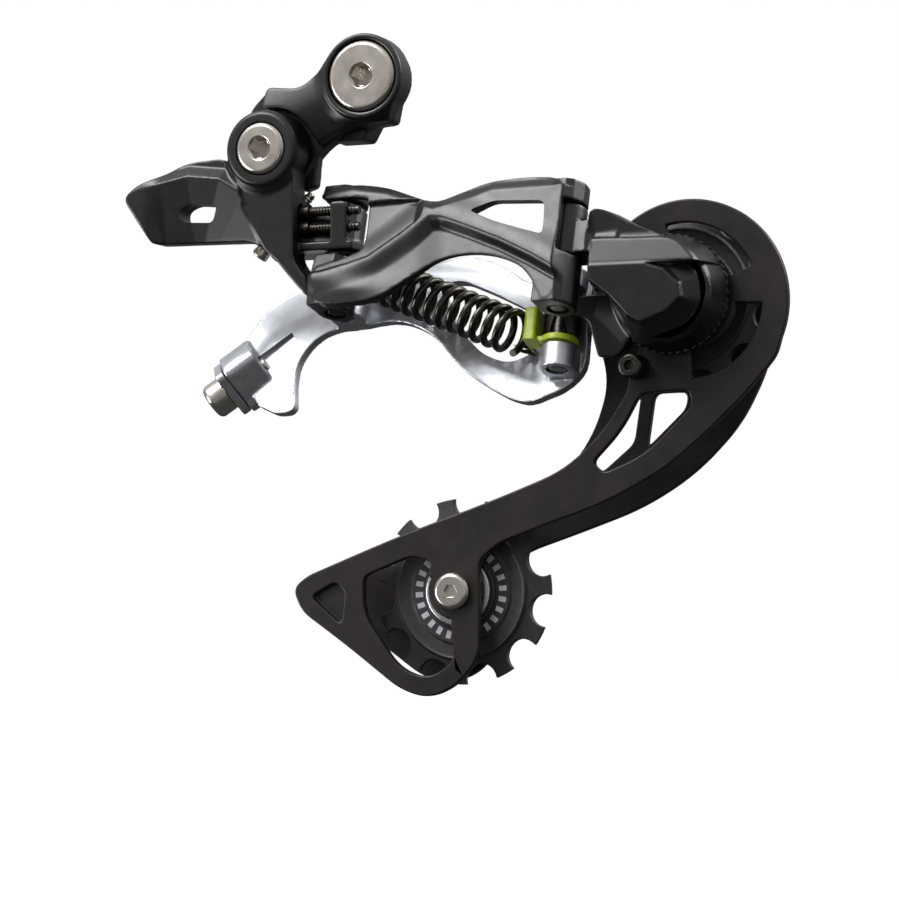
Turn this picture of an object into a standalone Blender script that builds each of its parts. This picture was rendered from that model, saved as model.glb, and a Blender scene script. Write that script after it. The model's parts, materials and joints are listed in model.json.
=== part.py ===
"""Rear bicycle derailleur, long cage, low-profile body that hangs from two pivots.

Frame: the origin is on the hanger bolt's axis, in the plane where the link meets the frame's hanger.
+X points to the front of the bicycle, +Y inboard to the wheel, +Z up. The numbers below are in
millimetres and degrees, and become metres when a mesh is made.
"""
import math

import bmesh
import bpy
from mathutils import Matrix, Vector

# ---------------------------------------------------------------- driving dimensions
MM = 0.001
WELD = 0.00001                           # metres; closes the slivers that a cut leaves
TURNS = 22                               # sides of a large circle
SMALL_TURNS = 12                         # sides of a small one

HANGER = (0.0, 0.0)                      # X, Z of the hanger bolt
LOWER = (-26.0, -17.5)                   # X, Z of the body's own pivot
CAGE = (78.5, -57.2)                     # X, Z of the cage pivot and the guide pulley
TENSION = (20.3, -129.2)                 # X, Z of the tension pulley
STOP_PIN = (69.0, -74.6)                 # X, Z of the cage's stop screw
DISC = (82.0, -58.9)                     # X, Z of the outer plate's round shield

PIN_REF = (-8.0, -2.0, -42.0)            # middle of the outer link's rear pin
LEAN = 18.0                              # tilt of the four link pins, tops inboard
REST_SWING = -5.0                        # links' angle outboard at rest, in the high gear
LINK = 62.0                              # between the pins of one link
INNER_REAR = (-4.0, 14.0)                # inner link's rear pin, from PIN_REF, along X and inboard
PIN_R = 2.5
PIN_BORE = 2.85
BOSS_R = 4.7

LINK_FACE = -9.5                         # Y of the hanger link's front face
LINK_STEP = -4.6                         # Y where its rear layer carries the body
RING_FACE = -14.3                        # Y of the body's front ring
BODY_RING_R = 10.0
HANGER_RING_R = 10.9                     # at its front face; it narrows behind
HANGER_REAR_R = 9.8
OUTER_FACE = 1.2                         # Y of the outer cage plate's front
PLATE = 2.3                              # cage plate thickness
INNER_FACE = 14.2                        # Y of the inner cage plate's near face
PULLEY_Y = 8.9                           # Y of both pulleys' middle plane
TEETH = 11
TIP_R = 23.4
ROOT_R = 18.7

COIL_R = 5.1                             # return spring, middle of the wire
COIL_WIRE = 0.95
COIL_COUNT = 12


# ---------------------------------------------------------------- frames of the parts
WORLD = Matrix.Identity(4)
LEANING = Matrix.Translation(PIN_REF) @ Matrix.Rotation(math.radians(-LEAN), 4, 'X')
OUTER_FRAME = LEANING @ Matrix.Rotation(math.radians(REST_SWING), 4, 'Z')
INNER_FRAME = (LEANING @ Matrix.Translation((*INNER_REAR, 0))
               @ Matrix.Rotation(math.radians(REST_SWING), 4, 'Z'))
OUTER_FRONT = OUTER_FRAME @ Matrix.Translation((LINK, 0, 0))
INNER_FRONT = INNER_FRAME @ Matrix.Translation((LINK, 0, 0))
# pins seen from above: the same places with the links' own swing taken out
KNUCKLE_TOP = Matrix.Translation(OUTER_FRONT.to_translation()) @ LEANING.to_3x3().to_4x4()
KNUCKLE_LOW = Matrix.Translation(INNER_FRONT.to_translation()) @ LEANING.to_3x3().to_4x4()


def aimed(start, direction, roll=0.0):
    """A frame at start whose Y runs along direction."""
    turn = Vector((0, 1, 0)).rotation_difference(Vector(direction)).to_matrix().to_4x4()
    return Matrix.Translation(start) @ turn @ Matrix.Rotation(math.radians(roll), 4, 'Y')


# ---------------------------------------------------------------- scene and materials
for old in list(bpy.data.objects):
    bpy.data.objects.remove(old, do_unlink=True)


def finish(name, colour, roughness, metallic):
    """One Principled material; colour is linear red, green, blue."""
    material = bpy.data.materials.new(name)
    material.use_nodes = True
    shader = material.node_tree.nodes["Principled BSDF"]
    shader.inputs["Base Color"].default_value = (*colour, 1.0)
    shader.inputs["Roughness"].default_value = roughness
    shader.inputs["Metallic"].default_value = metallic
    return material


FINISHES = {
    "black": ((0.022, 0.021, 0.022), 0.36, 0.6),
    "plate": ((0.030, 0.027, 0.026), 0.42, 0.6),
    "silver": ((0.72, 0.73, 0.75), 0.34, 0.9),
    "steel": ((0.58, 0.55, 0.52), 0.22, 1.0),
    "dark_steel": ((0.16, 0.15, 0.14), 0.34, 1.0),
    "resin": ((0.018, 0.018, 0.020), 0.5, 0.0),
    "green": ((0.42, 0.55, 0.03), 0.45, 0.0),
    "bronze": ((0.42, 0.28, 0.12), 0.4, 1.0),
    "rubber": ((0.012, 0.012, 0.012), 0.8, 0.0),
}


# ---------------------------------------------------------------- outlines
def arc(centre, radius, start, end, steps=8):
    """Points on a circle from start to end, in degrees."""
    angles = [math.radians(start + (end - start) * i / steps) for i in range(steps + 1)]
    return [(centre[0] + radius * math.cos(a), centre[1] + radius * math.sin(a)) for a in angles]


def circle(centre, radius, sides=TURNS):
    return arc(centre, radius, 0, 360, sides)[:-1]


def sector(centre, inner, outer, start, end, steps=8):
    """A curved slot between two radii."""
    return arc(centre, outer, start, end, steps) + arc(centre, inner, end, start, steps)


def softened(points, steps=3):
    """Rounds each corner that is given as (x, z, radius); the others stay sharp."""
    result = []
    count = len(points)
    for i, point in enumerate(points):
        corner = Vector(point[:2])
        if len(point) == 2:
            result.append(tuple(corner))
            continue
        before = Vector(points[i - 1][:2]) - corner
        after = Vector(points[(i + 1) % count][:2]) - corner
        reach = min(point[2], 0.45 * before.length, 0.45 * after.length)
        first = corner + before.normalized() * reach
        last = corner + after.normalized() * reach
        for k in range(steps + 1):
            t = k / steps
            result.append(tuple(first * (1 - t) ** 2 + corner * (2 * t * (1 - t)) + last * t ** 2))
    return result


# ---------------------------------------------------------------- meshes
def to_mesh(name, work, place):
    """Turns a bmesh in millimetres into a mesh in metres, at its place."""
    bmesh.ops.remove_doubles(work, verts=work.verts, dist=0.0005)
    bmesh.ops.recalc_face_normals(work, faces=work.faces)
    mesh = bpy.data.meshes.new(name)
    work.to_mesh(mesh)
    work.free()
    mesh.transform(Matrix.Scale(MM, 4) @ place)
    mesh.shade_smooth()
    mesh.set_sharp_from_angle(angle=math.radians(35))
    return mesh


def slab(name, points, low, high, place=WORLD, up=False):
    """Extrudes an outline from low to high, along Y, or along Z if up is true."""
    work = bmesh.new()
    levels = []
    for level in (low, high):
        corners = [(x, y, level) if up else (x, level, y) for x, y in points]
        levels.append([work.verts.new(corner) for corner in corners])
    work.faces.new(levels[0])
    work.faces.new(levels[1])
    count = len(points)
    for i in range(count):
        k = (i + 1) % count
        work.faces.new((levels[0][i], levels[0][k], levels[1][k], levels[1][i]))
    return to_mesh(name, work, place)


def turned(name, profile, place=WORLD, up=False, sides=TURNS, closed=False):
    """Turns (radius, height) points about Y, or about Z if up is true.

    An open profile starts and ends on the axis; a closed one is a ring's cross-section.
    """
    work = bmesh.new()
    rings = []
    for radius, height in profile:
        turns = 1 if radius == 0 else sides
        ring = []
        for i in range(turns):
            angle = 2 * math.pi * i / sides
            x = radius * math.cos(angle)
            y = radius * math.sin(angle)
            ring.append(work.verts.new((x, y, height) if up else (x, height, y)))
        rings.append(ring)
    pairs = list(zip(rings, rings[1:]))
    if closed:
        pairs.append((rings[-1], rings[0]))
    for one, two in pairs:
        for i in range(sides):
            k = (i + 1) % sides
            loop = [one[i % len(one)], one[k % len(one)], two[k % len(two)], two[i % len(two)]]
            corners = list(dict.fromkeys(loop))
            if len(corners) > 2:
                work.faces.new(corners)
    return to_mesh(name, work, place)


def rod(name, radius, low, high, place=WORLD, up=False, sides=SMALL_TURNS):
    return turned(name, [(0, low), (radius, low), (radius, high), (0, high)], place, up, sides)


def tube(name, inner, outer, low, high, place=WORLD, up=False, sides=TURNS):
    profile = [(inner, low), (outer, low), (outer, high), (inner, high)]
    return turned(name, profile, place, up, sides, closed=True)


def coil(name, radius, wire, turns, length, place, steps=10, sides=6):
    """A round wire wound about X, from 0 to length, with flat ends."""
    work = bmesh.new()
    rings = []
    total = round(turns * steps)
    slope = math.atan2(length / turns, 2 * math.pi * radius)
    for i in range(total + 1):
        angle = 2 * math.pi * i / steps
        middle = Vector((length * i / total, radius * math.cos(angle), radius * math.sin(angle)))
        outward = Vector((0, math.cos(angle), math.sin(angle)))
        along = Vector((math.sin(slope), -math.sin(angle) * math.cos(slope),
                        math.cos(angle) * math.cos(slope)))
        side = along.cross(outward)
        ring = []
        for k in range(sides):
            a = 2 * math.pi * k / sides
            ring.append(work.verts.new(middle + (outward * math.cos(a) + side * math.sin(a)) * wire))
        rings.append(ring)
    for one, two in zip(rings, rings[1:]):
        for k in range(sides):
            n = (k + 1) % sides
            work.faces.new((one[k], one[n], two[n], two[k]))
    work.faces.new(rings[0])
    work.faces.new(rings[-1])
    return to_mesh(name, work, place)


# ---------------------------------------------------------------- objects
PIVOTS = {}


def pivot(name, place, parent=None):
    """An empty on a joint's axis, which the pieces of one moving body hang from."""
    empty = bpy.data.objects.new(name, None)
    empty.empty_display_size = 0.01
    spot = Vector(place) * MM
    empty.location = spot - (PIVOTS[parent][1] if parent else Vector())
    empty.parent = PIVOTS[parent][0] if parent else None
    bpy.context.collection.objects.link(empty)
    PIVOTS[name] = (empty, spot)


def add_object(name, mesh, holder):
    empty, spot = PIVOTS[holder]
    mesh.transform(Matrix.Translation(-spot))
    piece = bpy.data.objects.new(name, mesh)
    piece.parent = empty
    bpy.context.collection.objects.link(piece)
    return piece


def build(name, mesh, kind, holder, joins=(), cuts=()):
    """One named piece: a first solid, others joined to it, and others cut from it."""
    piece = add_object(name, mesh, holder)
    colour, roughness, metallic = FINISHES[kind]
    mesh.materials.append(finish(name, colour, roughness, metallic))
    for operation, tools in (('UNION', joins), ('DIFFERENCE', cuts)):
        for i, tool in enumerate(tools):
            helper = add_object(f"{name}_{operation.lower()}_{i}", tool, holder)
            helper.hide_render = True
            helper.display_type = 'WIRE'
            step = piece.modifiers.new(f"{operation.lower()} {i}", 'BOOLEAN')
            step.operation = operation
            step.solver = 'EXACT'
            step.object = helper
            weld = piece.modifiers.new(f"weld {operation.lower()} {i}", 'WELD')
            weld.merge_threshold = WELD
    return piece


def at(point, y=0.0):
    """The frame of something turned about Y, at X and Z."""
    return Matrix.Translation((point[0], y, point[1]))


pivot("hanger", (0, 0, 0))
pivot("link", (0, 0, 0), "hanger")
pivot("body", (LOWER[0], RING_FACE, LOWER[1]), "link")
pivot("outer_link_axis", PIN_REF, "body")
pivot("inner_link_axis", INNER_FRAME.to_translation(), "body")
pivot("knuckle_axis", OUTER_FRONT.to_translation(), "outer_link_axis")
pivot("cage_axis", (CAGE[0], 0, CAGE[1]), "knuckle_axis")
pivot("guide_axis", (CAGE[0], PULLEY_Y, CAGE[1]), "cage_axis")
pivot("tension_axis", (TENSION[0], PULLEY_Y, TENSION[1]), "cage_axis")


# ---------------------------------------------------------------- hanger bolt and link
def hex_socket(width, low, high, place):
    """A six-sided hole across flats."""
    return slab("socket", circle((0, 0), width / math.sqrt(3), 6), low, high, place)


def hanger_group():
    head = [(0, -10.6), (8.1, -10.6), (9.0, -9.8), (9.0, -7.0), (5.0, -7.0), (5.0, 8.2),
            (4.4, 9.0), (0, 9.0)]
    build("hanger_bolt", turned("hanger_bolt", head), "steel", "hanger",
          cuts=[hex_socket(5.0, -12.0, -5.5, WORLD)])
    build("hanger_circlip", tube("hanger_circlip", 5.3, 6.9, -1.5, -0.5), "steel", "link")
    build("hanger_bush", tube("hanger_bush", 5.3, 6.2, -6.6, -1.9), "bronze", "link")


def hanger_link():
    """Dog-bone link: a thick hanger end and a thin rear layer that carries the body."""
    rear = softened([(-36.5, -20, 4), (-34, -6.5, 5), (-27.5, -0.6, 2), (-17.5, -1.8, 3),
                     (-12.3, 2.5, 3), (-9.9, 3.6), *arc(HANGER, HANGER_REAR_R, 155, -40, 14)[1:],
                     (6.4, -11.6, 1), (-6.0, -12.8, 3), (-14.0, -17.6, 4), (-19.0, -25.5, 4),
                     (-27.0, -28.2, 5)])
    front = softened([(-12.9, -16.2), (-16.2, -10.5), (-21.5, -6.6), (-28.4, -6.3), (-27.3, -0.9, 1.5),
                      (-17.5, -2.0, 3), (-12.1, 2.3, 3), (-10.7, 4.2),
                      *arc(HANGER, HANGER_RING_R, 156, -39, 14)[1:],
                      (6.2, -11.4, 1), (-6.1, -12.6, 3)])
    leg = softened([(-19.6, -18.2), (-14.2, -15.4), (-15.2, -26.6, 1), (-19.0, -27.8, 1)])
    stop = softened([(-11.5, -15.2, 1), (-2.5, -15.2, 1), (0.4, -10.0, 1), (-9.0, -9.0)])
    build("hanger_link", slab("hanger_link", rear, LINK_STEP, 0.0), "black", "link",
          joins=[slab("leg", leg, -4.2, -0.8),
                 slab("front", front, LINK_FACE, LINK_STEP + 0.8),
                 slab("stop", stop, -3.0, 5.2)],
          cuts=[rod("bore", 6.5, -20, 8, sides=TURNS),
                rod("head", 9.35, -12, -6.7, sides=TURNS),
                rod("clip", 7.3, -1.8, 3, sides=TURNS),
                rod("pivot", 4.4, -12, 6, at(LOWER), sides=TURNS)])
    bolt = [(0, -14.9), (5.9, -14.9), (6.6, -14.2), (6.6, -11.6), (4.0, -11.6), (4.0, 1.2), (0, 1.2)]
    build("body_pivot_bolt", turned("body_pivot_bolt", bolt, at(LOWER)), "steel", "link",
          cuts=[hex_socket(5.0, -16.5, -10.5, at(LOWER))])
    build("body_pivot_nut", slab("body_pivot_nut", circle((0, 0), 7.2, 6), 0.3, 2.6, at(LOWER)),
          "dark_steel", "link", cuts=[rod("thread", 4.3, -2, 5, at(LOWER), sides=TURNS)])
    build("body_pivot_washer", tube("body_pivot_washer", 4.4, 9.2, -5.3, -4.9, at(LOWER)),
          "bronze", "link")


# ---------------------------------------------------------------- body with the cable arm
LIMIT_SCREWS = {"high_limit_screw": -33.4, "low_limit_screw": -37.6}   # Z of each
LIMIT_Y = -7.4
TENSION_SCREW_TIP = (-16.6, -2.9, -28.2)
TENSION_SCREW_DIRECTION = (-0.68, -0.05, -0.73)


def base_body():
    """Front wall with the arm for the cable housing, the pivot ring and the block for the pins."""
    wall = softened([(-35.2, -20.5), (-38.5, -19.0, 2), (-48.5, -19.6, 6), (-55.0, -22.6, 6),
                     (-62.0, -25.2, 2), (-65.4, -28.4, 2), (-57.6, -40.2, 1), (-29.5, -40.6, 4),
                     (-23.5, -44.6, 6), (-18.2, -50.8, 6), (-13.7, -55.6, 1), (-13.7, -51.0, 2),
                     (-17.6, -46.0, 2), (-17.6, -22.0, 1), (-21.0, -17.5), (-26.0, -13.5)])
    bridge = [(-9.5, -4.0), (0.0, -4.4), (4.0, 0.5), (0.5, 14.0), (-8.4, 14.0)]
    screw_lug = softened([(-9.0, -31.2, 1), (-4.4, -31.2, 1), (-4.4, -43.0), (-9.0, -43.0)])
    shelf = [(-19.0, -41.2), (-2.8, -41.2), (-2.8, -43.4), (-19.0, -43.4)]
    anchor = aimed((-61.5, -9.2, -34.3), (-0.8345, 0, -0.5516))
    tip = aimed(TENSION_SCREW_TIP, TENSION_SCREW_DIRECTION)
    cuts = [rod("pivot", 4.3, -20, 5, at(LOWER), sides=TURNS),
            rod("head", 6.9, -20, -11.2, at(LOWER), sides=TURNS),
            rod("washer_seat", 9.6, -5.6, 0, at(LOWER), sides=TURNS),
            slab("window", softened([(-50.2, -31.8, 2), (-47.0, -30.2, 2), (-39.0, -31.0, 1.5),
                                     (-40.6, -35.4, 1.5), (-50.0, -34.9, 2)]), -20, 0),
            rod("housing_socket", 3.2, -3.4, 6, anchor),
            rod("outer_pin", PIN_BORE, -30, 30, LEANING, up=True),
            rod("inner_pin", PIN_BORE, -30, 30, INNER_FRAME, up=True),
            rod("b_screw", 1.7, -2, 24, tip),
            rod("b_screw_head", 2.7, 16.0, 30, tip)]
    for height in LIMIT_SCREWS.values():
        cuts.append(rod("limit_screw", 1.65, -8, 30, aimed((-17.0, LIMIT_Y, height), (1, 0, 0))))
        cuts.append(rod("head_room", 2.4, -6, 3.8, aimed((-17.0, LIMIT_Y, height), (1, 0, 0))))
    build("base_body", slab("base_body", wall, -13.4, -5.0), "black", "body",
          joins=[tube("ring", 2.0, BODY_RING_R, RING_FACE, -5.6, at(LOWER)),
                 slab("block", [(-21, -7), (-1, -4.5), (-1, 4.4), (-21, 4.4)], -1.4, 8.8,
                      LEANING, up=True),
                 rod("outer_eye", BOSS_R, -3.9, 9.8, LEANING, up=True, sides=20),
                 slab("bridge", bridge, -1.2, 3.0, LEANING, up=True),
                 rod("inner_eye", BOSS_R, -7.0, 3.2, INNER_FRAME, up=True, sides=20),
                 slab("lug", screw_lug, -9.9, -1.0),
                 slab("shelf", shelf, -9.9, -2.0)],
          cuts=cuts)


def base_screws():
    for name, height in LIMIT_SCREWS.items():
        place = aimed((-17.0, LIMIT_Y, height), (1, 0, 0))
        head = [(0, -1.4), (1.9, -1.4), (1.9, 1.9), (1.3, 1.9), (1.3, 15.5), (0, 15.5)]
        build(name, turned(name, head, place, sides=SMALL_TURNS), "steel", "body",
              cuts=[slab("slot", [(-0.35, -3), (0.35, -3), (0.35, 3), (-0.35, 3)], -3, -0.6, place)])
    place = aimed(TENSION_SCREW_TIP, TENSION_SCREW_DIRECTION)
    profile = [(0, 0), (1.35, 0), (1.35, 18.6), (2.2, 18.6), (2.2, 21.6), (0, 21.6)]
    build("b_tension_screw", turned("b_tension_screw", profile, place, sides=SMALL_TURNS),
          "steel", "body",
          cuts=[slab("slot", [(-0.35, -3), (0.35, -3), (0.35, 3), (-0.35, 3)], 20.6, 24, place)])


# ---------------------------------------------------------------- parallelogram links
OUTER_REAR_TOP = (10.9, 14.8)            # heights of the bosses along their pins
OUTER_REAR_LOW = (-18.6, -4.4)
OUTER_FRONT_TOP = (5.0, 10.6)
OUTER_FRONT_LOW = (-22.0, -9.0)
INNER_REAR_TOP = (3.6, 8.0)
INNER_REAR_LOW = (-13.6, -7.6)
INNER_FRONT_TOP = (-10.4, -5.2)
INNER_FRONT_LOW = (-32.0, -25.6)


def eye(name, frame, span, side, reach=8.3):
    """A boss round a pin, with a web out to the link's plate: side is -1 outboard, 1 inboard."""
    points = [(x, -side * y) for x, y in arc((0, 0), BOSS_R, 0, 180, 8)]
    web = [(-BOSS_R, side * reach), (1.2, side * reach), (BOSS_R, side * 2.0)]
    return slab(name, points + web, span[0], span[1], frame, up=True)


def outer_link():
    plate = softened([(-3.6, 11.4, 1), (-1.6, 13.4, 2), (4.0, 14.3, 3), (13.0, 12.8, 5),
                      (28.5, 6.4, 5), (35.0, 9.2, 4), (42.0, 11.4, 5), (52.0, 11.8, 5),
                      (60.0, 11.0, 4), (63.0, 8.6, 3), (63.0, -4.0, 2), (63.2, -19.6, 3),
                      (60.8, -22.0, 3), (58.0, -17.4, 3), (53.6, -12.0, 4), (46.6, -8.8, 4),
                      (38.6, -7.6, 5), (31.0, -8.6, 4), (24.0, -13.4, 4), (15.6, -18.6, 4),
                      (6.0, -19.4, 4), (-1.6, -18.8, 3), (-3.6, -14.0, 2), (-3.6, -8.6, 1),
                      (4.0, -6.4, 2), (10.0, -4.4, 2), (10.8, 2.0, 2), (10.8, 9.4, 1), (5.0, 10.3),
                      (-3.6, 10.3)])
    window = softened([(38.6, 3.0, 1.5), (44.4, 5.6, 2), (58.6, 4.4, 2), (59.2, -5.0, 1.5),
                       (53.0, -3.0, 2), (46.0, -0.6, 2)])
    front = OUTER_FRAME @ Matrix.Translation((LINK, 0, 0))
    build("outer_link", slab("outer_link", plate, -8.6, -4.9, OUTER_FRAME), "black",
          "outer_link_axis",
          joins=[eye("rear_top", OUTER_FRAME, OUTER_REAR_TOP, -1),
                 eye("rear_low", OUTER_FRAME, OUTER_REAR_LOW, -1),
                 eye("front_top", front, OUTER_FRONT_TOP, -1),
                 eye("front_low", front, OUTER_FRONT_LOW, -1)],
          cuts=[slab("window", window, -12, 0, OUTER_FRAME),
                rod("rear_bore", PIN_BORE, -30, 30, OUTER_FRAME, up=True),
                rod("front_bore", PIN_BORE, -30, 30, front, up=True)])


CLAMP_SEAT = (-33.3, 6.2, -27.6)         # on the inner link, in its own frame: along, across, up
CLAMP_DIRECTION = (-0.80, -0.06, -0.60)


def inner_link():
    """Silver link with the arm that carries the cable clamp."""
    plate = softened([(-21.0, -3.6, 4), (-11.0, 3.0, 4), (-4.0, 7.8, 2), (6.0, 7.4, 4),
                      (14.0, 3.0, 5), (20.0, 2.2, 5), (28.0, 4.0, 5), (36.0, 2.6, 5), (43.5, -1.6, 5),
                      (48.5, -5.2, 3), (66.4, -5.2, 3), (66.7, -20.0), (66.8, -30.0, 4),
                      (62.0, -34.6, 5), (52.5, -38.0, 4), (47.0, -36.4, 3),
                      (39.3, -32.0, 6), (32.0, -27.0, 8),
                      (23.0, -17.0, 8), (12.8, -12.4, 6), (1.9, -13.6, 3), (-6.5, -13.9, 5),
                      (-11.7, -16.6, 5), (-15.4, -22.0, 5), (-15.8, -28.0, 4), (-14.4, -36.0, 3),
                      (-19.5, -36.6, 2), (-25.5, -33.8), (-34.2, -22.5), (-36.2, -19.8, 3),
                      (-30.4, -13.0, 6), (-27.0, -7.6, 6)])
    window = softened([(24.0, -4.0, 4), (30.0, -3.0, 4), (40.0, -7.6, 4), (52.0, -14.0, 3),
                       (53.0, -24.0, 3), (46.0, -27.0, 4), (38.0, -24.0, 5), (29.0, -15.0, 5)])
    front = INNER_FRAME @ Matrix.Translation((LINK, 0, 0))
    seat = INNER_FRAME @ aimed(CLAMP_SEAT, CLAMP_DIRECTION)
    build("inner_link", slab("inner_link", plate, 4.9, 8.3, INNER_FRAME), "silver",
          "inner_link_axis",
          joins=[eye("rear_top", INNER_FRAME, INNER_REAR_TOP, 1, 8.0),
                 eye("rear_low", INNER_FRAME, INNER_REAR_LOW, 1, 8.0),
                 eye("front_top", front, INNER_FRONT_TOP, 1, 8.0),
                 eye("front_low", front, INNER_FRONT_LOW, 1, 8.0),
                 slab("pad", softened([(-7.5, -5.6, 3), (7.5, -5.6, 3), (7.5, 5.6, 3), (-7.5, 5.6, 3)]),
                      -9.0, 0.0, seat)],
          cuts=[slab("window", window, 0, 12, INNER_FRAME),
                rod("rear_bore", PIN_BORE, -30, 30, INNER_FRAME, up=True),
                rod("front_bore", PIN_BORE, -50, 30, front, up=True),
                rod("clamp_bore", 2.85, -20, 5, seat)])


def cable_clamp():
    seat = INNER_FRAME @ aimed(CLAMP_SEAT, CLAMP_DIRECTION)
    washer = softened([(-6.6, -5.0, 2), (6.6, -5.0, 2), (6.6, 5.0, 2), (-6.6, 5.0, 2)])
    build("cable_clamp_plate", slab("cable_clamp_plate", washer, 0.3, 2.5, seat), "silver",
          "inner_link_axis", cuts=[rod("bore", 2.9, -2, 5, seat)])
    bolt = [(0, -9.8), (2.5, -9.8), (2.5, 2.8), (4.7, 2.8), (4.7, 7.4), (3.9, 8.2), (0, 8.2)]
    build("cable_clamp_bolt", turned("cable_clamp_bolt", bolt, seat), "steel", "inner_link_axis",
          cuts=[hex_socket(4.0, 4.4, 10, seat)])


def link_pins():
    pins = (("outer_rear_pin", OUTER_FRAME, -18.3, 14.5, "outer_link_axis"),
            ("outer_front_pin", OUTER_FRONT, -21.7, 10.3, "outer_link_axis"),
            ("inner_rear_pin", INNER_FRAME, -13.3, 7.7, "inner_link_axis"),
            ("inner_front_pin", INNER_FRONT, -31.7, -5.5, "inner_link_axis"))
    for name, frame, low, high, holder in pins:
        build(name, rod(name, PIN_R, low, high, frame, up=True), "dark_steel", holder)


# ---------------------------------------------------------------- return spring
SPRING_START = (8.5, 1.6, -6.6)          # along, inboard and up from the outer rear pin
SPRING_END = (47.6, 5.0, -23.4)


def return_spring():
    start = LEANING @ Vector(SPRING_START)
    end = LEANING @ Vector(SPRING_END)
    heading = end - start
    turn = Vector((1, 0, 0)).rotation_difference(heading).to_matrix().to_4x4()
    place = Matrix.Translation(start) @ turn
    build("return_spring", coil("return_spring", COIL_R, COIL_WIRE, COIL_COUNT, heading.length, place),
          "dark_steel", "inner_link_axis")
    around = [(PIN_BORE, -25.3), (BOSS_R, -25.3), (BOSS_R, -23.8), (PIN_BORE, -23.8)]
    foot = [(-8.6, -3.0), (-2.0, -3.0), (-2.0, 2.4), (-8.6, 2.4)]
    ear = softened([(-8.6, -4.4, 1), (-5.2, -4.4, 1), (-5.2, 2.4), (-8.6, 2.4, 1)])
    build("spring_guide", turned("spring_guide", around, KNUCKLE_LOW, up=True, closed=True),
          "green", "inner_link_axis",
          joins=[slab("foot", foot, -25.2, -23.9, KNUCKLE_LOW, up=True),
                 slab("ear", ear, -25.25, -16.6, KNUCKLE_LOW, up=True)],
          cuts=[rod("bore", PIN_BORE, -40, 0, KNUCKLE_LOW, up=True)])


# ---------------------------------------------------------------- knuckle and cage pivot
KNUCKLE_FACE = -14.0
HOUSING_FRONT_R = 12.4                   # the housing widens from its front to its foot
HOUSING_R = 14.4


def knuckle():
    """The front body: two blocks for the links' pins and a round housing for the cage spring."""
    panel = softened([(62.0, -43.9, 1), (83.0, -44.6, 4), (87.0, -50.0), (92.0, -60.0), (88.0, -66.0),
                      (75.0, -70.2, 3), (71.6, -69.0, 2), (69.4, -61.8, 2), (66.6, -58.4, 2),
                      (62.0, -55.4, 1)])
    shoulder = softened([(60.6, -36.2, 2), (64.5, -36.8, 3), (71.0, -40.4, 3), (80.0, -44.0),
                         (80.0, -58.0), (66.0, -58.0), (60.6, -54.0, 1)])
    top = [(0, 4.6), (0, -4.6), (3.0, -3.4), (6.5, -4.6), (14, -6.7), (14, 4.6)]
    leg = softened([(50.5, -57.4), (50.5, -61.0), (57.5, -62.6, 2), (60.0, -72.2, 1), (65.0, -72.0, 1),
                    (70.0, -66.0), (70.0, -56.4)])
    housing = [(0, -12.8), (HOUSING_FRONT_R, -12.8), (HOUSING_R, -3.0), (HOUSING_R, 0.3), (0, 0.3)]
    build("knuckle", slab("knuckle", panel, KNUCKLE_FACE, -6.0), "black", "knuckle_axis",
          joins=[turned("housing", housing, at(CAGE), sides=36),
                 slab("shoulder", shoulder, -12.0, -1.0),
                 rod("top_eye", BOSS_R, -8.6, 4.7, KNUCKLE_TOP, up=True, sides=20),
                 slab("top_web", top, -8.5, 0.0, KNUCKLE_TOP, up=True),
                 rod("low_eye", BOSS_R, -23.5, -10.8, KNUCKLE_LOW, up=True, sides=20),
                 slab("low_web", leg, -4.4, -0.3)],
          cuts=[tube("spring_room", 7.0, 11.4, -10.6, 2.0, at(CAGE)),
                rod("bush_bore", 5.5, -10.8, 2.0, at(CAGE), sides=TURNS),
                rod("top_bore", PIN_BORE, -40, 40, KNUCKLE_TOP, up=True),
                rod("low_bore", 3.1, -40, -2, KNUCKLE_LOW, up=True)])
    build("cage_axle_bush", tube("cage_axle_bush", 4.3, 5.2, -10.6, -0.4, at(CAGE)), "bronze",
          "knuckle_axis")
    place = Matrix.Translation((CAGE[0], -9.5, CAGE[1])) @ Matrix.Rotation(math.radians(90), 4, 'Z')
    build("cage_spring", coil("cage_spring", 9.2, 0.9, 3.4, 8.2, place, steps=14), "dark_steel",
          "knuckle_axis")


def cage_axle():
    axle = [(0, -10.4), (4.0, -10.4), (4.0, 3.8), (5.4, 3.8), (5.4, 4.7), (0, 4.7)]
    build("cage_axle", turned("cage_axle", axle, at(CAGE)), "dark_steel", "cage_axis",
          cuts=[rod("thread", 2.8, -4.0, 9, at(CAGE))])
    build("cage_seal", tube("cage_seal", 10.6, 13.2, 0.6, 0.9, at(CAGE)), "rubber", "cage_axis")
    pin = [(0, -5.4), (2.6, -5.4), (3.1, -4.9), (3.1, 0.9), (1.7, 0.9), (1.7, 3.2), (0, 3.2)]
    build("cage_stop_screw", turned("cage_stop_screw", pin, at(STOP_PIN), sides=20), "dark_steel",
          "cage_axis", cuts=[hex_socket(2.5, -7, -3.6, at(STOP_PIN))])


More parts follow.
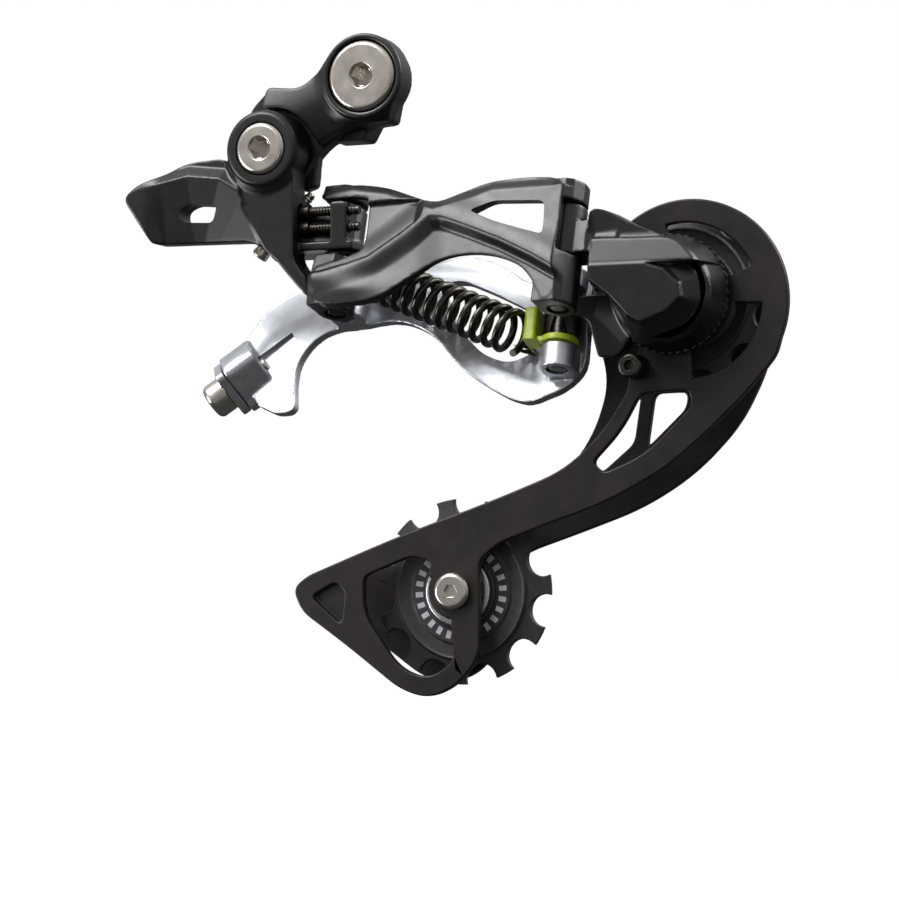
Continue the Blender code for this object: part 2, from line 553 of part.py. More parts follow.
# ---------------------------------------------------------------- cage plates
def outer_plate_outline():
    """The round shield, the curved stem and the tail loop of the outer plate."""
    return softened([*arc(DISC, 25.2, 135, -22, 14), (104.2, -72.6, 8), (98.0, -80.0, 8),
                     (88.0, -89.6, 10), (76.0, -99.6, 12), (60.0, -107.8, 12), (45.0, -112.8, 12),
                     (32.5, -117.2, 3), (27.2, -121.6, 2), (27.2, -146.0, 4), (20.6, -153.2, 4),
                     (13.4, -156.0, 4), (5.8, -153.8, 4), (-9.0, -142.7, 8), (-21.4, -134.2, 3),
                     (-23.8, -128.4, 3), (-20.0, -125.2, 3), (6.0, -115.0, 12), (32.0, -106.2, 10),
                     (50.0, -99.2, 10), (60.0, -90.0, 10), (66.8, -79.6, 4), (66.5, -73.0, 3),
                     (65.2, -70.5, 2), (64.8, -58.0, 2), (64.8, -47.0, 2)], 2)


def tail_window():
    return softened([(-4.2, -125.4, 2), (9.0, -120.3, 2), (14.2, -121.6, 1.5), (13.6, -125.6),
                     *arc(TENSION, 6.9, 150, 265, 7), (20.6, -146.6, 3), (13.4, -151.2, 4),
                     (5.4, -148.2, 5), (-4.0, -135.0, 4)], 2)


def through_window():
    return softened([(69.6, -81.0, 2.5), (82.0, -80.3, 2), (82.8, -84.2, 4), (71.0, -95.8, 7),
                     (60.0, -100.4, 2.5), (57.0, -97.8, 2), (64.6, -90.0, 5)], 2)


def cage_outer_plate():
    face = OUTER_FACE
    back = OUTER_FACE + PLATE
    pocket = softened([(-18.8, -130.4, 2), (-12.0, -126.8, 1.5), (-9.3, -129.0, 1.5),
                       (-10.2, -137.6, 2)], 2)
    build("cage_outer_plate", slab("cage_outer_plate", outer_plate_outline(), face, back), "plate",
          "cage_axis",
          cuts=[slab("tail_window", tail_window(), -9, 9),
                slab("tail_pocket", pocket, -9, face + 1.2),
                slab("through_window", through_window(), -9, 9),
                slab("upper_slot", sector((80.8, -58.4), 13.6, 19.0, 24, 104, 6), -9, 9),
                slab("lower_slot", sector(DISC, 11.8, 18.6, -3, -88, 6), -9, 9),
                rod("axle", 4.3, -9, 9, at(CAGE), sides=TURNS),
                rod("stop", 1.9, -9, 9, at(STOP_PIN)),
                rod("bolt", 2.8, -9, 9, at(TENSION))])


def cage_inner_plate():
    near = INNER_FACE
    far = INNER_FACE + PLATE
    outline = softened([*arc((77.2, -58.9), 24.2, 175, -20, 14), (97.5, -76.0, 8),
                        (91.5, -88.0, 8), (80.0, -100.0, 10), (66.0, -108.6, 12), (48.0, -115.0, 12),
                        (36.0, -119.0, 3), (27.6, -124.0, 2), (27.4, -144.0, 4), (21.0, -150.4, 4),
                        (13.4, -152.4, 4), (6.4, -150.6, 4), (-7.0, -141.0, 8), (-17.0, -134.0, 3),
                        (-19.4, -129.6, 3), (-15.0, -126.6, 3), (6.0, -117.6, 12), (28.0, -109.4, 10),
                        (44.0, -101.6, 10), (53.0, -90.0, 10), (57.0, -77.0, 6), (54.0, -66.0, 3)], 2)
    build("cage_inner_plate", slab("cage_inner_plate", outline, near, far), "plate", "cage_axis",
          cuts=[slab("tail_window", tail_window(), 9, 20),
                slab("rear_window", softened([(60.8, -81.4, 2), (65.4, -80.4, 2), (63.6, -92.4, 2),
                                              (55.0, -99.6, 2), (51.6, -98.0, 2), (57.6, -90.0, 4)],
                                             2), 9, 20),
                slab("front_window", softened([(69.0, -80.2, 2), (77.6, -80.0, 2),
                                               (77.2, -84.0, 3), (67.0, -93.6, 2)], 2), 9, 20),
                slab("disc_slot", sector((77.2, -58.9), 9.0, 18.0, 20, 160, 8), 9, 20),
                slab("disc_slot_low", sector((77.2, -58.9), 9.0, 18.0, 200, 320, 8), 9, 20),
                rod("guide_bolt", 2.8, 9, 20, at(CAGE)),
                rod("bolt", 2.8, 9, 20, at(TENSION))])


# ---------------------------------------------------------------- pulleys
def tooth_outline():
    """Eleven teeth: each has a flat tip, straight flanks and a round root for a roller."""
    points = []
    pitch = 360 / TEETH
    for i in range(TEETH):
        middle = pitch * i + 4.0
        for shift, radius in ((-0.30, ROOT_R + 0.3), (-0.19, 21.2), (-0.07, TIP_R),
                              (0.07, TIP_R), (0.19, 21.2), (0.30, ROOT_R + 0.3), (0.5, ROOT_R - 0.9)):
            angle = math.radians(middle + shift * pitch)
            points.append((radius * math.cos(angle), radius * math.sin(angle)))
    return points


def pulley(name, centre, axis, sleeve_low, cap_bore):
    """A toothed wheel on a bush, between two dust caps, held by one bolt through the plates.

    The guide pulley's sleeve is shorter and its outer cap wider, to clear the cage axle's head.
    """
    place = at(centre, PULLEY_Y)
    build(f"{name}_pulley", slab(f"{name}_pulley", tooth_outline(), -1.0, 1.0, place), "resin", axis,
          joins=[rod("web", 17.0, -2.4, 2.4, place, sides=TURNS),
                 rod("hub", 9.4, -3.4, 3.4, place, sides=TURNS)],
          cuts=[rod("bore", 5.5, -9, 9, place, sides=TURNS)])
    build(f"{name}_pulley_bush", tube(f"{name}_pulley_bush", 3.8, 5.2, -3.2, 3.2, place), "bronze",
          axis)
    build(f"{name}_bolt_sleeve", tube("sleeve", 2.8, 3.5, sleeve_low, 4.8, place, sides=20),
          "steel", "cage_axis")
    build(f"{name}_cap_outer", tube("cap", cap_bore, 8.6, -4.9, -3.9, place), "silver", "cage_axis")
    build(f"{name}_cap_inner", tube("cap", 3.8, 8.6, 3.9, 4.9, place), "silver", "cage_axis")


def pulley_bolts():
    head = [(0, 19.6), (4.4, 19.6), (4.6, 19.0), (4.6, 16.8), (2.5, 16.8), (2.5, -3.0), (0, -3.0)]
    build("guide_pulley_bolt", turned("guide_pulley_bolt", head, at(CAGE)), "steel", "cage_axis",
          cuts=[hex_socket(3.0, 17.6, 22, at(CAGE))])
    head = [(0, -0.9), (4.2, -0.9), (4.6, -0.4), (4.6, 0.9), (2.5, 0.9), (2.5, 18.0), (0, 18.0)]
    build("tension_pulley_bolt", turned("tension_pulley_bolt", head, at(TENSION)), "steel",
          "cage_axis", cuts=[hex_socket(3.0, -3, -0.0, at(TENSION))])


hanger_group()
hanger_link()
base_body()
base_screws()
outer_link()
inner_link()
cable_clamp()
link_pins()
return_spring()
knuckle()
cage_axle()
cage_outer_plate()
cage_inner_plate()
pulley("guide", CAGE, "guide_axis", -2.8, 6.0)
pulley("tension", TENSION, "tension_axis", -4.8, 3.8)
pulley_bolts()
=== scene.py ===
import json
import math

import bmesh
import bpy
import numpy as np
from mathutils import Matrix, Vector


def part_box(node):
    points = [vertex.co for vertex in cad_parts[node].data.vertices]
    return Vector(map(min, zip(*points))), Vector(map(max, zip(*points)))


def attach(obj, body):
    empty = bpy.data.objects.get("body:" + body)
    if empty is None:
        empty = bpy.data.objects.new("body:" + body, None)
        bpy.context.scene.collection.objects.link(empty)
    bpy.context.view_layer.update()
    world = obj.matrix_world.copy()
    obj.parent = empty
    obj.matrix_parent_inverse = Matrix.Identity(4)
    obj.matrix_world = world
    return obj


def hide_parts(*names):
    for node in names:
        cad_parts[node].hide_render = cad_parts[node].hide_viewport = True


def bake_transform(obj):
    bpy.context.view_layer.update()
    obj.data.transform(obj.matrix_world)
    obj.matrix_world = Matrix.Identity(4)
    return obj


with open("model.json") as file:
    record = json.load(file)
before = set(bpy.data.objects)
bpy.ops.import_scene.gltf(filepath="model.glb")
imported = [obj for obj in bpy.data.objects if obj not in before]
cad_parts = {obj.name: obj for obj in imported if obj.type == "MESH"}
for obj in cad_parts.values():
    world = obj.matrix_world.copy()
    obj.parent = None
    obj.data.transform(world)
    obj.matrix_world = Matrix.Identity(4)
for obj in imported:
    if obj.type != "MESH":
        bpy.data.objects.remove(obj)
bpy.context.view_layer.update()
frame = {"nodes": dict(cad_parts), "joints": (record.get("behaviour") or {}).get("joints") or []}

# Hanger bolt. The hollow steel bolt that screws into the bicycle's hanger and carries the whole
# derailleur; it is turned, nickel plated and polished, with a broached hexagon. A spring clip and a
# bronze bush keep the link on it.
MM = 0.001
WORLD = Matrix.Identity(4)
joints = {joint["name"]: joint for joint in frame["joints"]}


def linear(code):
    """A colour written as sRGB hex, as linear red, green, blue and full alpha."""
    shares = [int(code[i:i + 2], 16) / 255 for i in (1, 3, 5)]
    return (*[s / 12.92 if s <= 0.04045 else ((s + 0.055) / 1.055) ** 2.4 for s in shares], 1.0)


def node(tree, kind, inputs=None, **settings):
    """Adds a node with its settings; an input takes a value, or the output that is linked to it."""
    new = tree.nodes.new(kind)
    for key, value in settings.items():
        setattr(new, key, value)
    for key, value in (inputs or {}).items():
        if isinstance(value, bpy.types.NodeSocket):
            tree.links.new(value, new.inputs[key])
        else:
            new.inputs[key].default_value = value
    return new


def new_material(name, metallic, **sockets):
    """A Principled material, and the piece's own coordinates in millimetres for its patterns."""
    material = bpy.data.materials.new(name)
    material.use_nodes = True
    tree = material.node_tree
    shader = tree.nodes["Principled BSDF"]
    shader.inputs["Metallic"].default_value = metallic
    for key, value in sockets.items():
        shader.inputs[key.replace("_", " ")].default_value = value
    place = node(tree, "ShaderNodeTexCoord").outputs["Object"]
    spot = node(tree, "ShaderNodeMapping", {"Vector": place, "Scale": (1 / MM,) * 3})
    return material, tree, shader, spot.outputs["Vector"]


def uneven(tree, spot, size, low, high, detail=3.0):
    """A soft noise whose patches are size millimetres wide, as a value from low to high."""
    noise = node(tree, "ShaderNodeTexNoise", {"Vector": spot, "Scale": 1 / size, "Detail": detail})
    return node(tree, "ShaderNodeMapRange", {"Value": noise.outputs["Fac"], "From Min": 0.3,
                                             "From Max": 0.7, "To Min": low, "To Max": high},
                ).outputs["Result"]


def surfaced(made, patches, one, two, gloss=None, grain=None):
    """Gives a new material its colour, gloss and grain, and returns it.

    The colour drifts between two hex colours over patches of so many millimetres. Gloss is a size and
    the lowest and highest roughness; grain is a size, a detail and a depth in millimetres.
    """
    material, tree, shader, spot = made
    tint = node(tree, "ShaderNodeMix", {0: uneven(tree, spot, patches, 0.0, 1.0), 6: linear(one),
                                        7: linear(two)}, data_type='RGBA')
    tree.links.new(tint.outputs[2], shader.inputs["Base Color"])
    if gloss:
        tree.links.new(uneven(tree, spot, *gloss), shader.inputs["Roughness"])
    if grain:
        size, detail, depth = grain
        bump = node(tree, "ShaderNodeBump", {"Height": uneven(tree, spot, size, 0.0, 1.0, detail),
                                             "Distance": depth * MM, "Strength": 1.0})
        tree.links.new(bump.outputs["Normal"], shader.inputs["Normal"])
    return material


# Nickel-plated steel: bright and slightly warm, with soft handling marks a few millimetres wide.
nickel = surfaced(new_material("nickel-plated steel", 1.0),
                  8.0, "#cfc7be", "#dfd8cf", (3.0, 0.26, 0.34), (1.6, 3.0, 0.004))

# Sintered bronze: dull yellow-brown, open grains 0.3 mm wide.
bronze = surfaced(new_material("sintered bronze", 1.0),
                  0.3, "#8a6a42", "#b08a5a", (0.3, 0.35, 0.55), (0.3, 3.0, 0.02))


def arc(centre, radius, start, end, steps=24):
    """Points on a circle from start to end, in degrees."""
    angles = [math.radians(start + (end - start) * i / steps) for i in range(steps + 1)]
    return [(centre[0] + radius * math.cos(a), centre[1] + radius * math.sin(a)) for a in angles]


def rounded(points, steps=8):
    """Rounds each corner that is given as (x, y, reach); the others stay sharp."""
    result = []
    for i, point in enumerate(points):
        corner = Vector(point[:2])
        if len(point) == 2:
            result.append(tuple(corner))
            continue
        before = Vector(points[i - 1][:2]) - corner
        after = Vector(points[(i + 1) % len(points)][:2]) - corner
        reach = min(point[2], 0.48 * before.length, 0.48 * after.length)
        first = corner + before.normalized() * reach
        last = corner + after.normalized() * reach
        for k in range(steps + 1):
            t = k / steps
            result.append(tuple(first * (1 - t) ** 2 + corner * (2 * t * (1 - t)) + last * t ** 2))
    return result


def to_mesh(work, place):
    """A closed mesh in millimetres, facing out, at its place."""
    bmesh.ops.remove_doubles(work, verts=work.verts, dist=0.0005)
    bmesh.ops.recalc_face_normals(work, faces=work.faces)
    mesh = bpy.data.meshes.new("shape")
    work.to_mesh(mesh)
    work.free()
    mesh.transform(place)
    return mesh


def slab(points, low, high, place=WORLD, up=False):
    """An outline given thickness along Y, or along Z if up is true."""
    work = bmesh.new()
    levels = []
    for level in (low, high):
        corners = [(x, y, level) if up else (x, level, y) for x, y in points]
        levels.append([work.verts.new(corner) for corner in corners])
    work.faces.new(levels[0])
    work.faces.new(levels[1])
    for i in range(len(points)):
        k = (i + 1) % len(points)
        work.faces.new((levels[0][i], levels[0][k], levels[1][k], levels[1][i]))
    return to_mesh(work, place)


def turned(profile, place=WORLD, up=False, sides=72):
    """A closed profile of (radius, height) points, turned about Y, or about Z if up is true."""
    work = bmesh.new()
    rings = []
    for radius, height in profile:
        turns = 1 if radius < 1e-6 else sides
        angles = [2 * math.pi * i / sides for i in range(turns)]
        spots = [(radius * math.cos(a), radius * math.sin(a)) for a in angles]
        rings.append([work.verts.new((x, y, height) if up else (x, height, y)) for x, y in spots])
    for one, two in zip(rings, rings[1:] + rings[:1]):
        for i in range(sides):
            k = (i + 1) % sides
            loop = [one[i % len(one)], one[k % len(one)], two[k % len(two)], two[i % len(two)]]
            corners = list(dict.fromkeys(loop))
            if len(corners) > 2:
                work.faces.new(corners)
    return to_mesh(work, place)


def rod(radius, low, high, place=WORLD, up=False, sides=72):
    return turned([(0, low), (radius, low), (radius, high), (0, high)], place, up, sides)


def tube(inner, outer, low, high, place=WORLD, up=False, sides=72):
    return turned([(inner, low), (outer, low), (outer, high), (inner, high)], place, up, sides)


def hexagon(width, low, high, place=WORLD):
    """A six-sided prism, width across its flats."""
    return slab(arc((0, 0), width / math.sqrt(3), 0, 360, 6)[:-1], low, high, place)


def evaluated(mesh, steps):
    """The plain mesh that a stack of modifiers makes; each step is a kind and its settings."""
    host = bpy.data.objects.new("host", mesh)
    bpy.context.collection.objects.link(host)
    for kind, settings in steps:
        modifier = host.modifiers.new(kind.lower(), kind)
        for key, value in settings.items():
            setattr(modifier, key, value)
    graph = bpy.context.evaluated_depsgraph_get()
    result = bpy.data.meshes.new_from_object(host.evaluated_get(graph), depsgraph=graph)
    bpy.data.objects.remove(host)
    return result


def machined(blank, joins=(), cuts=(), edge=0.25, solver='EXACT'):
    """Joins and cuts closed solids, then breaks the sharp edges by edge millimetres."""
    helpers = []
    steps = []
    for operation, tools in (('UNION', joins), ('DIFFERENCE', cuts)):
        for tool in tools:
            helper = bpy.data.objects.new("tool", tool)
            bpy.context.collection.objects.link(helper)
            helpers.append(helper)
            steps.append(('BOOLEAN', {"operation": operation, "solver": solver, "object": helper}))
            steps.append(('WELD', {"merge_threshold": 0.004}))
    if edge:
        steps.append(('BEVEL', {"width": edge, "segments": 3, "limit_method": 'ANGLE',
                                "angle_limit": math.radians(38), "use_clamp_overlap": False}))
    blank.shade_smooth()
    result = evaluated(blank, steps)
    for helper in helpers:
        bpy.data.objects.remove(helper)
    result.shade_smooth()
    if not edge:
        result.set_sharp_from_angle(angle=math.radians(38))
    return evaluated(result, [('WEIGHTED_NORMAL', {"keep_sharp": True})])


def piece(name, mesh, material, body, slot, *nodes):
    """A finished piece: metres, its material, the body it rides on and the nodes it stands for."""
    mesh.transform(Matrix.Scale(MM, 4))
    mesh.materials.clear()
    mesh.materials.append(material)
    made = bpy.data.objects.new(name, mesh)
    bpy.context.scene.collection.objects.link(made)
    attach(made, body)
    if nodes:
        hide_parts(*nodes)
    return made


def carried(name, material):
    """A CAD node that is shown as it is, with its real finish."""
    data = frame["nodes"][name].data
    data.materials.clear()
    data.materials.append(material)


HEX_KEY = 5.0
HANGER_PIN = 5.0
bolt = rounded([(0, -10.5), (8.2, -10.5, 0.6), (9.0, -9.6, 0.4), (9.0, -7.0, 0.2), (HANGER_PIN, -7.0),
                (HANGER_PIN, 8.2, 0.2), (4.4, 9.0, 0.2), (0, 9.0)], 4)
piece("mounting_bolt",
      machined(turned(bolt), cuts=[hexagon(HEX_KEY, -12.0, -5.5),
                                   turned([(0, -12), (4.6, -12), (2.6, -9.8), (0, -9.8)])], edge=0.12),
      nickel, "hanger", "steel", "hanger_bolt")
clip = arc((0, 0), 6.9, -60, 240, 40) + arc((0, 0), 5.35, 240, -60, 40)
piece("mounting_clip", machined(slab(clip, -1.5, -0.5), edge=0.15), nickel, "link", "steel",
      "hanger_circlip")
carried("hanger_bush", bronze)

# Hanger link. A short forged aluminium arm between the hanger bolt and the body, painted satin black;
# its front layer is crowned, its rear layer passes behind the body's ring, and a tab below stops it
# against the hanger.
LOWER = Vector(joints["body_swing"]["pos_m"]) / MM
HANGER_RING = 10.85
HANGER_REAR = 9.8
HEAD_RECESS = 9.35

# Satin black paint on forged aluminium: near black with a broad soft sheen and a faint orange peel.
paint = surfaced(new_material("satin black paint", 0.0, Coat_Weight=0.15, Coat_Roughness=0.3),
                 9.0, "#0c0c0d", "#131213", (3.0, 0.34, 0.41), (0.9, 2.0, 0.005))


def at(point, y=0.0):
    """The place of something turned about Y, at X and Z."""
    return Matrix.Translation((point[0], y, point[-1]))


def joined(meshes):
    """Several closed meshes as one."""
    work = bmesh.new()
    for mesh in meshes:
        work.from_mesh(mesh)
    result = bpy.data.meshes.new("joined")
    work.to_mesh(result)
    work.free()
    return result


def forged(solids, cuts=(), grain=0.3, easing=6, place=WORLD, carve=None):
    """Closed solids melted into one skin with eased corners, carved, then machined.

    carve takes a point cloud's along, depth and up in place's frame, and returns the new depth.
    """
    skin = evaluated(joined(solids), [('REMESH', {"mode": 'VOXEL', "voxel_size": grain}),
                                      ('SMOOTH', {"factor": 0.5, "iterations": easing})])
    if carve:
        skin.transform(place.inverted())
        spots = np.empty(len(skin.vertices) * 3, np.float32)
        skin.vertices.foreach_get("co", spots)
        spots = spots.reshape(-1, 3)
        spots[:, 1] = carve(spots[:, 0], spots[:, 1], spots[:, 2])
        skin.vertices.foreach_set("co", spots.ravel())
        skin.transform(place)
        skin = evaluated(skin, [('SMOOTH', {"factor": 0.5, "iterations": 2})])
    return machined(skin, cuts=cuts, edge=0, solver='MANIFOLD')


def ramp(value, start, end):
    """Goes smoothly from 0 at start to 1 at end."""
    t = np.clip((value - start) / (end - start), 0, 1)
    return t * t * (3 - 2 * t)


def beside(x, y, line):
    """Distance from each point to a line of points: positive on its left, negative on its right."""
    nearest = np.full(x.shape, 1e9)
    result = np.zeros(x.shape)
    for (ax, ay), (bx, by) in zip(line, line[1:]):
        dx, dy = bx - ax, by - ay
        t = np.clip(((x - ax) * dx + (y - ay) * dy) / (dx * dx + dy * dy), 0, 1)
        gap = np.hypot(x - ax - t * dx, y - ay - t * dy)
        side = np.where(dx * (y - ay) - dy * (x - ax) >= 0, 1.0, -1.0)
        closer = gap < nearest - 1e-6
        result = np.where(closer, gap * side, result)
        nearest = np.where(closer, gap, nearest)
    return result


def lowered(depth, back, front, amount):
    """Sinks the front of a plate by amount, and its thickness with it, leaving the back in place."""
    share = np.clip((back - depth) / (back - front), 0, 1)
    return depth + amount * share


rear = rounded([(-36.5, -20, 4), (-34, -6.5, 5), (-27.5, -0.6, 2), (-17.5, -1.8, 3), (-12.3, 2.5, 3),
                (-9.9, 3.6), *arc((0, 0), HANGER_REAR, 155, -40)[1:], (6.4, -11.6, 1),
                (-6.0, -12.8, 3), (-14.0, -17.6, 4), (-19.0, -25.5, 4), (-27.0, -28.2, 5)])
front = rounded([(-12.9, -16.2), (-16.2, -10.5, 3), (-21.5, -6.6, 3), (-28.4, -6.3, 1),
                 (-27.3, -0.9, 1.5), (-17.5, -2.0, 3), (-12.1, 2.3, 3), (-10.7, 4.2),
                 *arc((0, 0), HANGER_RING, 156, -39)[1:], (6.2, -11.4, 1), (-6.1, -12.6, 3)])
leg = rounded([(-19.6, -18.2), (-14.2, -15.4), (-15.2, -26.6, 1), (-19.0, -27.8, 1)])
stop = rounded([(-11.5, -15.2, 1), (-2.5, -15.2, 1), (0.4, -10.0, 1), (-9.0, -9.0)])
rim = turned(rounded([(HEAD_RECESS, -8.5), (HEAD_RECESS, -10.1, 0.3), (10.8, -10.1, 0.5),
                      (10.8, -8.5)], 4))


def crowned_link(along, depth, up):
    """The arm's face falls away from the middle line between the two bolts."""
    off = np.abs(beside(along, up, [(0, 0), (LOWER[0], LOWER[2] + 6)]))
    clear_of_ring = ramp(np.hypot(along, up), 10.5, 14)
    return lowered(depth, -4.6, -9.5, clear_of_ring * 0.05 * off ** 1.6)


piece("forged_hanger_link",
      forged([slab(rear, -4.6, 0.0), slab(leg, -4.2, -0.8), slab(front, -9.5, -3.8),
              slab(stop, -3.0, 5.2), rim],
             cuts=[rod(6.5, -20, 8), rod(HEAD_RECESS, -12, -6.7), rod(7.3, -1.8, 3),
                   rod(4.4, -12, 6, at(LOWER))],
             easing=4, carve=crowned_link),
      paint, "link", "black_aluminium", "hanger_link")

# Body pivot. A second plated bolt holds the body to the link, with a nut behind and a bronze washer
# between; the body turns on it when the screw below is adjusted.
bolt = rounded([(0, -14.9), (5.9, -14.9, 0.5), (6.6, -14.1, 0.3), (6.6, -11.6), (4.0, -11.6),
                (4.0, 1.2, 0.2), (0, 1.2)], 4)
socket = turned([(0, -16), (4.4, -16), (2.6, -14.4), (0, -14.4)], at(LOWER))
piece("body_bolt",
      machined(turned(bolt, at(LOWER)), cuts=[hexagon(HEX_KEY, -16.5, -10.5, at(LOWER)), socket],
               edge=0.12),
      nickel, "link", "steel", "body_pivot_bolt")

# Black oxide steel: dark grey-brown with a dull oiled gleam and a grain of about 0.6 mm.
oxide = surfaced(new_material("black oxide steel", 1.0),
                 1.8, "#3a3734", "#57534e", (0.6, 0.26, 0.42), (0.6, 3.0, 0.01))

nut = machined(hexagon(2 * 7.2 * math.cos(math.pi / 6), 0.3, 2.6, at(LOWER)),
               cuts=[rod(4.3, -2, 5, at(LOWER))], edge=0.3)
piece("body_nut", nut, oxide, "link", "dark_steel", "body_pivot_nut")
carried("body_pivot_washer", bronze)

# Body. Forged aluminium in satin black: a ring round the pivot, a long arm with a seat for the cable
# housing, and behind it a block that holds the rear pins of both links.
REST_SWING = math.radians(-5)
INNER_REAR = (-4.0, 14.0, 0.0)
LINK = 62.0
PIN_BORE = 2.85
BOSS = 4.7
lean = Vector((0, 0, 1)).rotation_difference(Vector(joints["shift"]["axis"]))
LEANING = (Matrix.Translation(Vector(joints["shift"]["pos_m"]) / MM)
           @ lean.to_matrix().to_4x4())
OUTER_FRAME = LEANING @ Matrix.Rotation(REST_SWING, 4, 'Z')
INNER_FRAME = LEANING @ Matrix.Translation(INNER_REAR) @ Matrix.Rotation(REST_SWING, 4, 'Z')
OUTER_FRONT = OUTER_FRAME @ Matrix.Translation((LINK, 0, 0))
INNER_FRONT = INNER_FRAME @ Matrix.Translation((LINK, 0, 0))
LIMIT_Y = -7.4
LIMIT_HEIGHTS = {"high_limit_screw": -33.4, "low_limit_screw": -37.6}
B_TIP = (-16.6, -2.9, -28.2)
B_DIRECTION = (-0.68, -0.05, -0.73)


def aimed(start, direction):
    """A place at start whose Y runs along direction."""
    turn = Vector((0, 1, 0)).rotation_difference(Vector(direction)).to_matrix().to_4x4()
    return Matrix.Translation(start) @ turn


def shaped_body(along, depth, up):
    """The arm's face leans in below a ridge near its top; the wall in front stays upright."""
    back, face = -5.0, -13.4
    ridge = [(-66.0, -27.6), (-57.5, -25.4), (-47.0, -23.4), (-38.0, -24.5), (-31.0, -28.5), (-24, -34)]
    side = beside(along, up, ridge)
    on_arm = ramp(beside(along, up, [(-24.5, -44.5), (-30.5, -31.5)]), 0.0, 1.6)
    falls = np.where(side > 0, np.minimum(0.9 * side, 2.6), 0.19 * -side)
    near_tip = 1 - 0.75 * ramp(-along, 54, 60)
    outside_ring = ramp(np.hypot(along - LOWER[0], up - LOWER[2]), 9.6, 12.0)
    return lowered(depth, back, face, outside_ring * (on_arm * falls * near_tip + (1 - on_arm) * 0.9))


wall = rounded([(-35.2, -20.5), (-38.5, -19.0, 2), (-48.5, -19.6, 6), (-55.0, -22.6, 6),
                (-62.0, -25.2, 2), (-65.4, -28.4, 2), (-57.6, -40.2, 1), (-29.5, -40.6, 4),
                (-23.5, -44.6, 6), (-18.2, -50.8, 6), (-13.7, -55.6, 1), (-13.7, -51.0, 2),
                (-17.6, -46.0, 2), (-17.6, -22.0, 1), (-21.0, -17.5), (-26.0, -13.5)])
bridge = [(-9.5, -4.0), (0.0, -4.4), (4.0, 0.5), (0.5, 14.0), (-8.4, 14.0)]
lug = rounded([(-9.0, -31.2, 1), (-4.4, -31.2, 1), (-4.4, -43.0), (-9.0, -43.0)])
shelf = [(-19.0, -41.2), (-2.8, -41.2), (-2.8, -43.4), (-19.0, -43.4)]
anchor = aimed((-61.5, -9.2, -34.3), (-0.8345, 0, -0.5516))
tip = aimed(B_TIP, B_DIRECTION)
slot = rounded([(-50.2, -31.8, 2), (-47.0, -30.2, 2), (-39.0, -31.0, 1.5), (-40.6, -35.4, 1.5),
                (-50.0, -34.9, 2)])
cuts = [rod(4.3, -20, 5, at(LOWER)), rod(6.9, -20, -11.2, at(LOWER)), rod(9.6, -5.6, 0, at(LOWER)),
        slab(slot, -20, 0), rod(3.2, -3.4, 6, anchor), rod(PIN_BORE, -30, 30, LEANING, up=True),
        rod(PIN_BORE, -30, 30, INNER_FRAME, up=True), rod(1.7, -2, 24, tip), rod(2.7, 16.0, 30, tip)]
for height in LIMIT_HEIGHTS.values():
    screw = aimed((-17.0, LIMIT_Y, height), (1, 0, 0))
    cuts += [rod(1.65, -8, 30, screw), rod(2.4, -6, 3.8, screw)]
ring = turned(rounded([(2.0, -5.6), (2.0, -14.2), (9.3, -14.2, 1.0), (10.0, -12.6, 1.0),
                       (10.0, -5.6)], 5), at(LOWER))
block = slab([(-21, -7), (-1, -4.5), (-1, 4.4), (-21, 4.4)], -1.4, 8.8, LEANING, up=True)
piece("forged_body",
      forged([slab(wall, -13.4, -5.0), ring, block, rod(BOSS, -3.9, 9.8, LEANING, up=True),
              slab(bridge, -1.2, 3.0, LEANING, up=True), rod(BOSS, -7.0, 3.2, INNER_FRAME, up=True),
              slab(lug, -9.9, -1.0), slab(shelf, -9.9, -2.0)], cuts, easing=4, carve=shaped_body),
      paint, "body", "black_aluminium", "base_body")

# Adjusting screws. Two blackened screws side by side limit the swing, and a longer plated one bears
# on the link's leg; each has a cross recess and a fine rolled thread.
THREAD_PITCH = 0.8


def input_tree(name, inputs):
    """A geometry node tree with named inputs, its input node and its output node."""
    made = bpy.data.node_groups.new(name, 'GeometryNodeTree')
    made.interface.new_socket("Geometry", in_out='OUTPUT', socket_type='NodeSocketGeometry')
    for label, kind in inputs.items():
        made.interface.new_socket(label, in_out='INPUT', socket_type=f"NodeSocket{kind}")
    return made, node(made, "NodeGroupInput"), node(made, "NodeGroupOutput")


wound, sizes, output = input_tree("wound wire", {"Turns": "Float", "Radius": "Float", "Length": "Float",
                                                 "Wire": "Float", "Finish": "Material"})
spiral = node(wound, "GeometryNodeCurveSpiral",
              {"Resolution": 32, "Rotations": sizes.outputs["Turns"],
               "Start Radius": sizes.outputs["Radius"], "End Radius": sizes.outputs["Radius"],
               "Height": sizes.outputs["Length"]})
section = node(wound, "GeometryNodeCurvePrimitiveCircle", {"Resolution": 12,
                                                           "Radius": sizes.outputs["Wire"]})
swept = node(wound, "GeometryNodeCurveToMesh",
             {"Curve": spiral.outputs["Curve"], "Profile Curve": section.outputs["Curve"],
              "Fill Caps": True})
real = node(wound, "GeometryNodeRealizeInstances", {"Geometry": swept.outputs["Mesh"]})
finished = node(wound, "GeometryNodeSetMaterial", {"Geometry": real.outputs["Geometry"],
                                                   "Material": sizes.outputs["Finish"]})
wound.links.new(finished.outputs["Geometry"], output.inputs["Geometry"])


